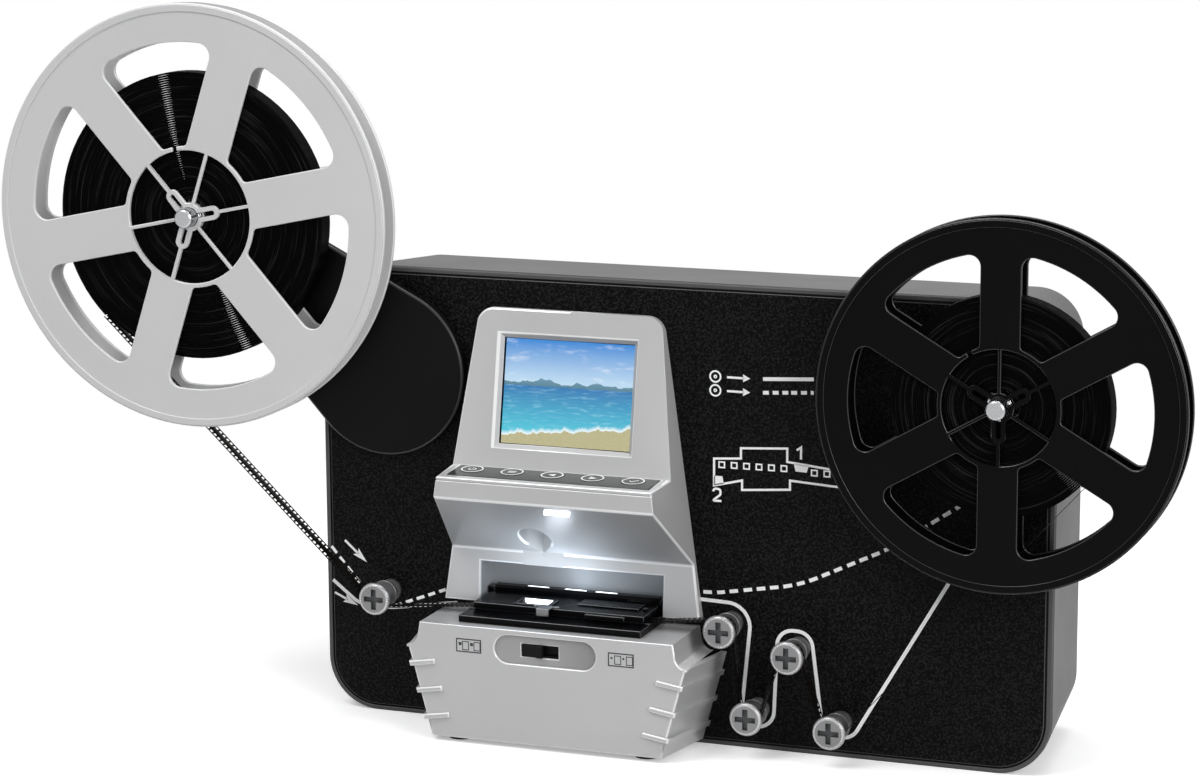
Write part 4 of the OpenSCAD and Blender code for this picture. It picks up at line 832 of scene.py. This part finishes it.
def rounded(points, radii, steps=8):
    """A line through corner points, each corner rounded by its radius."""
    out = [Vector(points[0])]
    for i in range(1, len(points) - 1):
        p, q, t = (Vector(v) for v in points[i - 1:i + 2])
        u, v = (p - q).normalized(), (t - q).normalized()
        half = u.angle(v) / 2
        cut = min(radii[i - 1] / math.tan(half), 0.49 * (p - q).length, 0.49 * (t - q).length)
        r = cut * math.tan(half)
        centre = q + (u + v).normalized() * (r / math.sin(half))
        a0 = q + u * cut - centre
        a1 = q + v * cut - centre
        for k in range(steps + 1):
            d = a0.lerp(a1, k / steps)
            out.append(centre + d.normalized() * r)
    out.append(Vector(points[-1]))
    return out


class Print:
    """Shapes in a plane, turned into one thin mesh by a function from plane points to row points."""

    def __init__(self, to_row):
        self.to_row = to_row
        self.bm = bmesh.new()

    def shape(self, pts):
        self.bm.faces.new([self.bm.verts.new(self.to_row(p[0], p[1])) for p in pts])

    def stroke(self, pts, width, closed=False):
        pts = [Vector(p) for p in pts]
        n = len(pts)
        rows = []
        for i in range(n):
            p = pts[i - 1] if i or closed else pts[i]
            q = pts[(i + 1) % n] if i < n - 1 or closed else pts[i]
            d1 = (pts[i] - p).normalized() if (pts[i] - p).length > 1e-9 else (q - pts[i]).normalized()
            d2 = (q - pts[i]).normalized() if (q - pts[i]).length > 1e-9 else d1
            m = (d1 + d2).normalized()
            normal = Vector((-m.y, m.x))
            w = width / 2 / max(0.35, normal.dot(Vector((-d1.y, d1.x))))
            rows.append([self.bm.verts.new(self.to_row(*(pts[i] + normal * k * w))) for k in (-1, 1)])
        if closed:
            rows.append(rows[0])
        for a, b in zip(rows, rows[1:]):
            self.bm.faces.new((a[0], a[1], b[1], b[0]))

    def dashes(self, pts, width, dash, gap):
        pts = [Vector(p) for p in pts]
        run, line, fine = 0.0, [], []
        for p, q in zip(pts, pts[1:]):
            n = max(1, int((q - p).length / 0.4))
            fine += [p.lerp(q, k / n) for k in range(n)]
        fine.append(pts[-1])
        for p, q in zip(fine, fine[1:]):
            if run % (dash + gap) < dash:
                line = line or [p]
                line.append(q)
            elif line:
                self.stroke(line, width)
                line = []
            run += (q - p).length
        if line:
            self.stroke(line, width)

    def ring(self, x, y, r, width, a0=0, a1=360):
        n = 40
        whole = a1 - a0 >= 360
        turns = [math.radians(a0 + (a1 - a0) * k / n) for k in range(n if whole else n + 1)]
        self.stroke([(x + r * math.cos(a), y + r * math.sin(a)) for a in turns], width, whole)

    def box(self, x, y, w, h, width):
        self.stroke([(x, y), (x + w, y), (x + w, y + h), (x, y + h)], width, True)

    def done(self, name, body, slot, material):
        bmesh.ops.recalc_face_normals(self.bm, faces=self.bm.faces)
        mesh = bpy.data.meshes.new(name)
        self.bm.to_mesh(mesh)
        self.bm.free()
        obj = piece(name, mesh, body, slot, material)
        mod = obj.modifiers.new("thickness", "SOLIDIFY")
        mod.thickness = PRINT_T / 1000
        mod.offset = 0


panel = Print(lambda x, z: point(x, -0.035, z))
# Solid line: the film's way through the gate and round the guides
panel.stroke(rounded([(-152.6, 54.6), (-141, 45.6), (-126, 44.9), (-96, 49.5)], [9, 16]), 1.5)
panel.stroke(rounded(
    [(0, 60.6), (32.3, 59.5), (27.4, 9.4), (41.4, 9.2), (43.1, 50.6), (57.0, 50.4), (62.4, 8.4), (74.4, 8.2),
     (120, 87)],
    [9.5, 8, 8, 6.5, 6.5, 8, 7]), 1.5)
# Dashed line: the way past the gate when film is wound back
panel.dashes(rounded([(-153, 69), (-138.6, 52.5), (-127, 44.8), (-101, 54.8), (-92, 57)], [10, 8, 10]),
             1.3, 3.3, 2.1)
panel.dashes(rounded([(0, 62.9), (18, 63.6), (52, 69.5), (88, 86.9), (128, 114)], [30, 60, 60]),
             1.5, 3.6, 2.1)
for tip, tail in (((-136.9, 63.4), (-146.8, 72.1)), ((-141.4, 44.5), (-151.9, 49.2))):
    t, f = Vector(tip), Vector(tail)
    d = (t - f).normalized()
    side = Vector((-d.y, d.x))
    panel.stroke([f, t - d * 5], 1.0)
    panel.shape([t, t - d * 6.6 + side * 1.9, t - d * 5.4, t - d * 6.6 - side * 1.9])
# Key to the lines: a plain reel sign beside each sample
panel.stroke([(36.5, 152.2), (57.5, 153.4)], 1.5)
panel.dashes([(36.5, 146.7), (57.5, 148.0)], 1.5, 2.4, 1.5)
for z in (152.0, 146.4):
    panel.ring(16.6, z, 2.2, 0.7)
    panel.ring(16.6, z, 0.5, 0.5)
    panel.stroke([(21.5, z), (28.6, z)], 0.9)
    panel.shape([(31.2, z), (28.2, z + 1.6), (28.2, z - 1.6)])
# Plan of the gate, with its two holding points numbered
panel.stroke([
    (66.9, 117.4), (46.7, 119.4), (46.7, 124.8), (27.4, 123.6), (27.4, 119.4), (16.1, 118.6), (16.1, 107.6),
    (27.9, 110.5), (27.9, 106.6), (47.9, 108.2), (47.9, 111.9), (70, 110.6)], 0.9)
for k in range(6):
    panel.box(18.2 + 5.2 * k, 115.2 + 0.06 * k, 2.3, 2.2, 0.6)
for k in range(2):
    panel.box(56.8 + 5.2 * k, 114.6, 2.3, 2.2, 0.6)
panel.shape([(49.4, 118.9), (55.6, 118.4), (54.8, 115.6), (50.2, 115.8)])
panel.shape([(16.1, 111.6), (19.6, 111.6), (20.2, 108.6), (16.1, 107.6)])
panel.stroke([(50.6, 124.4), (52.4, 125.6), (52.4, 120.8)], 0.9)
panel.stroke(rounded(
    [(15.6, 105.2), (16.4, 106.4), (18.8, 106.2), (18.8, 104.0), (15.6, 101.4), (19.2, 101.4)],
    [1, 1, 1, 0.2]), 0.9)
panel.done("panel_print", "housing", "cover_black", INK)


# Signs on the keys and by the switch

SHELF_RUN = HEAD_OUT - SHELF_BACK
SHELF = math.atan2(SHELF_DROP, SHELF_RUN)
KEY_S = math.hypot(SHELF_RUN, SHELF_DROP) - STRIP_BACK - STRIP_DEPTH / 2 + KEYS_UP


def on_shelf(x, s, n):
    """Point over the key shelf: across, up the shelf and off it."""
    y = -HEAD_OUT + s * math.cos(SHELF) - n * math.sin(SHELF)
    z = SHELF_Z - SHELF_DROP + s * math.sin(SHELF) + n * math.cos(SHELF)
    return point(HEAD_X + x, y, z)


for i, name in enumerate(KEY_NAMES):
    x0 = (i - 2) * KEY_PITCH - KEYS_LEFT
    sign = Print(lambda x, y, x0=x0: on_shelf(x0 + x, KEY_S + y, 0.335))
    sign.ring(0, 0, 4.4, 0.6)
    if name == "power":
        sign.ring(0, -0.1, 1.5, 0.4, 120, 420)
        sign.stroke([(0, 0.3), (0, 2.0)], 0.45)
    elif name == "menu":
        for y in (-1, 0, 1):
            sign.stroke([(-1.7, y), (1.7, y)], 0.45)
    elif name in ("left", "right"):
        k = -1 if name == "left" else 1
        sign.shape([(1.7 * k, 0), (-1.2 * k, 1.5), (-1.2 * k, -1.5)])
    else:
        sign.stroke([(-1.6, 0.1), (-0.5, -1.1), (1.8, 1.4)], 0.5)
    sign.done("key_sign_" + name, "key_" + name, "key_gloss", INK)

labels = Print(lambda x, z: point(HEAD_X + x, -BASE_OUT - 0.035, SWITCH_Z + z))
for x, hole in ((-38.2, 1.3), (27.4, 0.8)):
    labels.box(x, -2.6, 10.5, 5.2, 0.5)
    for k in range(2):
        left, low, high = x + 0.9 + 5 * k, 0.6 - hole / 2, 0.6 + hole / 2
        labels.shape([(left, low), (left + hole, low), (left + hole, high), (left, high)])
        labels.box(x + 2.6 + 5 * k, -1.8, 2.6, 3.4, 0.35)
labels.done("switch_signs", "housing", "silver_plastic", DARK_INK)


# Lit picture behind the window

FASCIA_RUN, FASCIA_RISE = SHELF_BACK - HEAD_TOP_OUT, HEAD_TOP_Z - SHELF_Z
FASCIA = math.atan2(FASCIA_RUN, FASCIA_RISE)
SCREEN_S = math.hypot(FASCIA_RUN, FASCIA_RISE) * 0.485
SCREEN_W, SCREEN_H, SCREEN_DEPTH = 55.6, 42.6, 3.36


def on_fascia(x, depth, s):
    """Point behind the sloping face: across, into it and up it."""
    y = -SHELF_BACK + depth * math.cos(FASCIA) + s * math.sin(FASCIA)
    z = SHELF_Z - depth * math.sin(FASCIA) + s * math.cos(FASCIA)
    return point(HEAD_X + x, y, z)


bm = bmesh.new()
layer = bm.loops.layers.uv.new("picture")
NX, NZ = 8, 6
grid = []
for k in range(NZ + 1):
    up = SCREEN_S - SCREEN_H / 2 + SCREEN_H * k / NZ
    sides = [-SCREEN_W / 2 + SCREEN_W * i / NX for i in range(NX + 1)]
    grid.append([bm.verts.new(on_fascia(x, SCREEN_DEPTH, up)) for x in sides])
for k in range(NZ):
    for i in range(NX):
        face = bm.faces.new((grid[k][i], grid[k][i + 1], grid[k + 1][i + 1], grid[k + 1][i]))
        for loop, (u, v) in zip(face.loops, ((i, k), (i + 1, k), (i + 1, k + 1), (i, k + 1))):
            loop[layer].uv = (u / NX, v / NZ)
mesh = bpy.data.meshes.new("screen_picture")
bm.to_mesh(mesh)
bm.free()
piece("screen_picture", mesh, "housing", "screen_lit", PICTURE)


# Light in the scan bay: a lamp behind the lip and the lit film in the gate; the back wall of the gate's
# window and the slots along the hinge glow as painted light

def tile(name, corners, body, slot, material):
    """A thin four cornered plate with a raised middle."""
    bm = bmesh.new()
    rim = [bm.verts.new(c) for c in corners]
    middle = sum(corners, Vector()) / 4
    normal = (corners[1] - corners[0]).cross(corners[2] - corners[0]).normalized()
    raised = [bm.verts.new(c.lerp(middle, 0.12) + normal * 0.0002) for c in corners]
    for k in range(4):
        bm.faces.new((rim[k], rim[(k + 1) % 4], raised[(k + 1) % 4], raised[k]))
    bm.faces.new(raised)
    mesh = bpy.data.meshes.new(name)
    bm.to_mesh(mesh)
    bm.free()
    piece(name, mesh, body, slot, material)


def on_slope(x, share):
    """Point on the head's sloping underside, at a share of the way from the lip to the crease."""
    y, z = LIP.lerp(CREASE, share)
    return point(HEAD_X + x, y - 0.05, z - 0.06)


tile("bay_lamp", [on_slope(*c) for c in ((-1.4, 0.17), (9.6, 0.17), (11.2, 0.06), (0.2, 0.06))],
     "housing", "diffuser_white", LAMP)
w, d = WINDOW[0] / 2 - 0.6, WINDOW[1] / 2 - 0.4
rim = [point(APERTURE_X + x, FILM_Y + y, DOOR_LOW + 1.3) for x, y in ((-w, -d), (w, -d), (w, d), (-w, d))]
tile("lit_frame", rim, "gate", "diffuser_white", GLOW)
# The back wall of the gate's window glows: painted light where the lamp lights it
low, high = (1.0, DOOR_LOW + 1.5), (0.1, DOOR_TOP + 0.7)
rim = [point(APERTURE_X + x, FILM_Y + WINDOW[1] / 2 - 0.1 - y, z)
       for x, (y, z) in ((-w, low), (w, low), (w, high), (-w, high))]
tile("window_wall_painted_light", rim, "gate", "diffuser_white", PAINTED_GLOW)
# Glowing plates in the hinge slots: painted light
for k, x in enumerate(HINGE_SLOTS, 1):
    tile("hinge_slot_painted_light_%d" % k, [point(HEAD_X + x + u, HINGE_Y + v, RAIL_TOP - 0.35) for u, v in (
        (-4.8, -1.15), (4.8, -1.15), (4.8, 0.7), (-4.8, 0.7))], "gate", "diffuser_white", PAINTED_GLOW)


# Stage: a pale floor that turns white further off, a white world and soft light

def stage_plane(name, size, near, far):
    """A floor that takes the object's shadow near it and turns into plain white further off."""
    bm = bmesh.new()
    bmesh.ops.create_grid(bm, x_segments=4, y_segments=4, size=size)
    mesh = bpy.data.meshes.new(name)
    bm.to_mesh(mesh)
    bm.free()
    obj = bpy.data.objects.new(name, mesh)
    scene.collection.objects.link(obj)
    g = Graph(name)
    coords = g.add("ShaderNodeTexCoord")
    away = g.add("ShaderNodeVectorMath", operation="LENGTH")
    g.link(coords.outputs["Object"], away.inputs[0])
    white = g.spread(away.outputs["Value"], 0, 1, near, far)
    path = g.add("ShaderNodeLightPath")
    seen = path.outputs["Is Camera Ray"]
    for ray in ("Is Glossy Ray", "Is Transmission Ray"):
        seen = g.math("MAXIMUM", seen, path.outputs[ray])
    g.set(Roughness=0.9, Specular_IOR_Level=0.0, Emission_Color=(1, 1, 1, 1))
    pale = g.mix(g.noise(g.where(), 2), rgb("f6f6f6"), rgb("fbfbfb"))
    pale = g.mix(seen, rgb("a0a0a0"), pale)
    g.to(g.mix(g.math("MULTIPLY", white, seen), pale, (0, 0, 0, 1)), "Base Color")
    g.to(g.math("MULTIPLY", seen, g.spread(white, 0.3, 1.0, 0, 1)), "Emission Strength")
    mesh.materials.append(g.mat)


stage_plane("floor", 12, 0.27, 0.6)

world = bpy.data.worlds.new("studio")
scene.world = world
world.use_nodes = True
wt = world.node_tree
sky = wt.nodes["Background"]
sky.inputs["Color"].default_value = (1, 1, 1, 1)
path = wt.nodes.new("ShaderNodeLightPath")
strength = wt.nodes.new("ShaderNodeMapRange")
seen = wt.nodes.new("ShaderNodeMath")
seen.operation = "MAXIMUM"
wt.links.new(path.outputs["Is Camera Ray"], seen.inputs[0])
wt.links.new(path.outputs["Is Transmission Ray"], seen.inputs[1])
mirrored = wt.nodes.new("ShaderNodeMath")
mirrored.operation = "MAXIMUM"
wt.links.new(seen.outputs[0], mirrored.inputs[0])
wt.links.new(path.outputs["Is Glossy Ray"], mirrored.inputs[1])
wt.links.new(mirrored.outputs[0], strength.inputs["Value"])
strength.inputs["To Min"].default_value = 0.35
strength.inputs["To Max"].default_value = 1.0
wt.links.new(strength.outputs["Result"], sky.inputs["Strength"])


def softbox(name, place, aim, size, watts):
    lamp = bpy.data.lights.new(name, "AREA")
    lamp.shape = "RECTANGLE"
    lamp.size, lamp.size_y = size
    lamp.energy = watts
    obj = bpy.data.objects.new(name, lamp)
    obj.location = place
    obj.rotation_euler = (Vector(aim) - Vector(place)).to_track_quat("-Z", "Y").to_euler()
    obj.visible_camera = False
    scene.collection.objects.link(obj)


softbox("key_light", (-0.9, -1.2, 2.4), (0, 0, 0.12), (1.2, 1.2), 34)
softbox("fill_light", (1.9, -1.2, 1.0), (0, 0, 0.15), (1.2, 1.2), 30)
softbox("top_light", (0.3, 0.3, 1.9), (0, 0, 0.1), (1.2, 0.7), 12)
# The scanner's own light, thrown back and up by the gate
for k, (x, y, z, watts) in enumerate(((4, -13, 61, 0.018), (-16, -20, 66, 0.012), (0, 3, 62, 0.009)), 1):
    bay = bpy.data.lights.new("bay_light_%d" % k, "POINT")
    bay.energy = watts
    bay.shadow_soft_size = 0.008
    bay.color = (0.74, 0.87, 1.0)
    obj = bpy.data.objects.new("bay_light_%d" % k, bay)
    obj.location = point(HEAD_X + x, y, z)
    obj.visible_camera = False
    obj.visible_glossy = False
    scene.collection.objects.link(obj)

scene.view_settings.view_transform = "Standard"
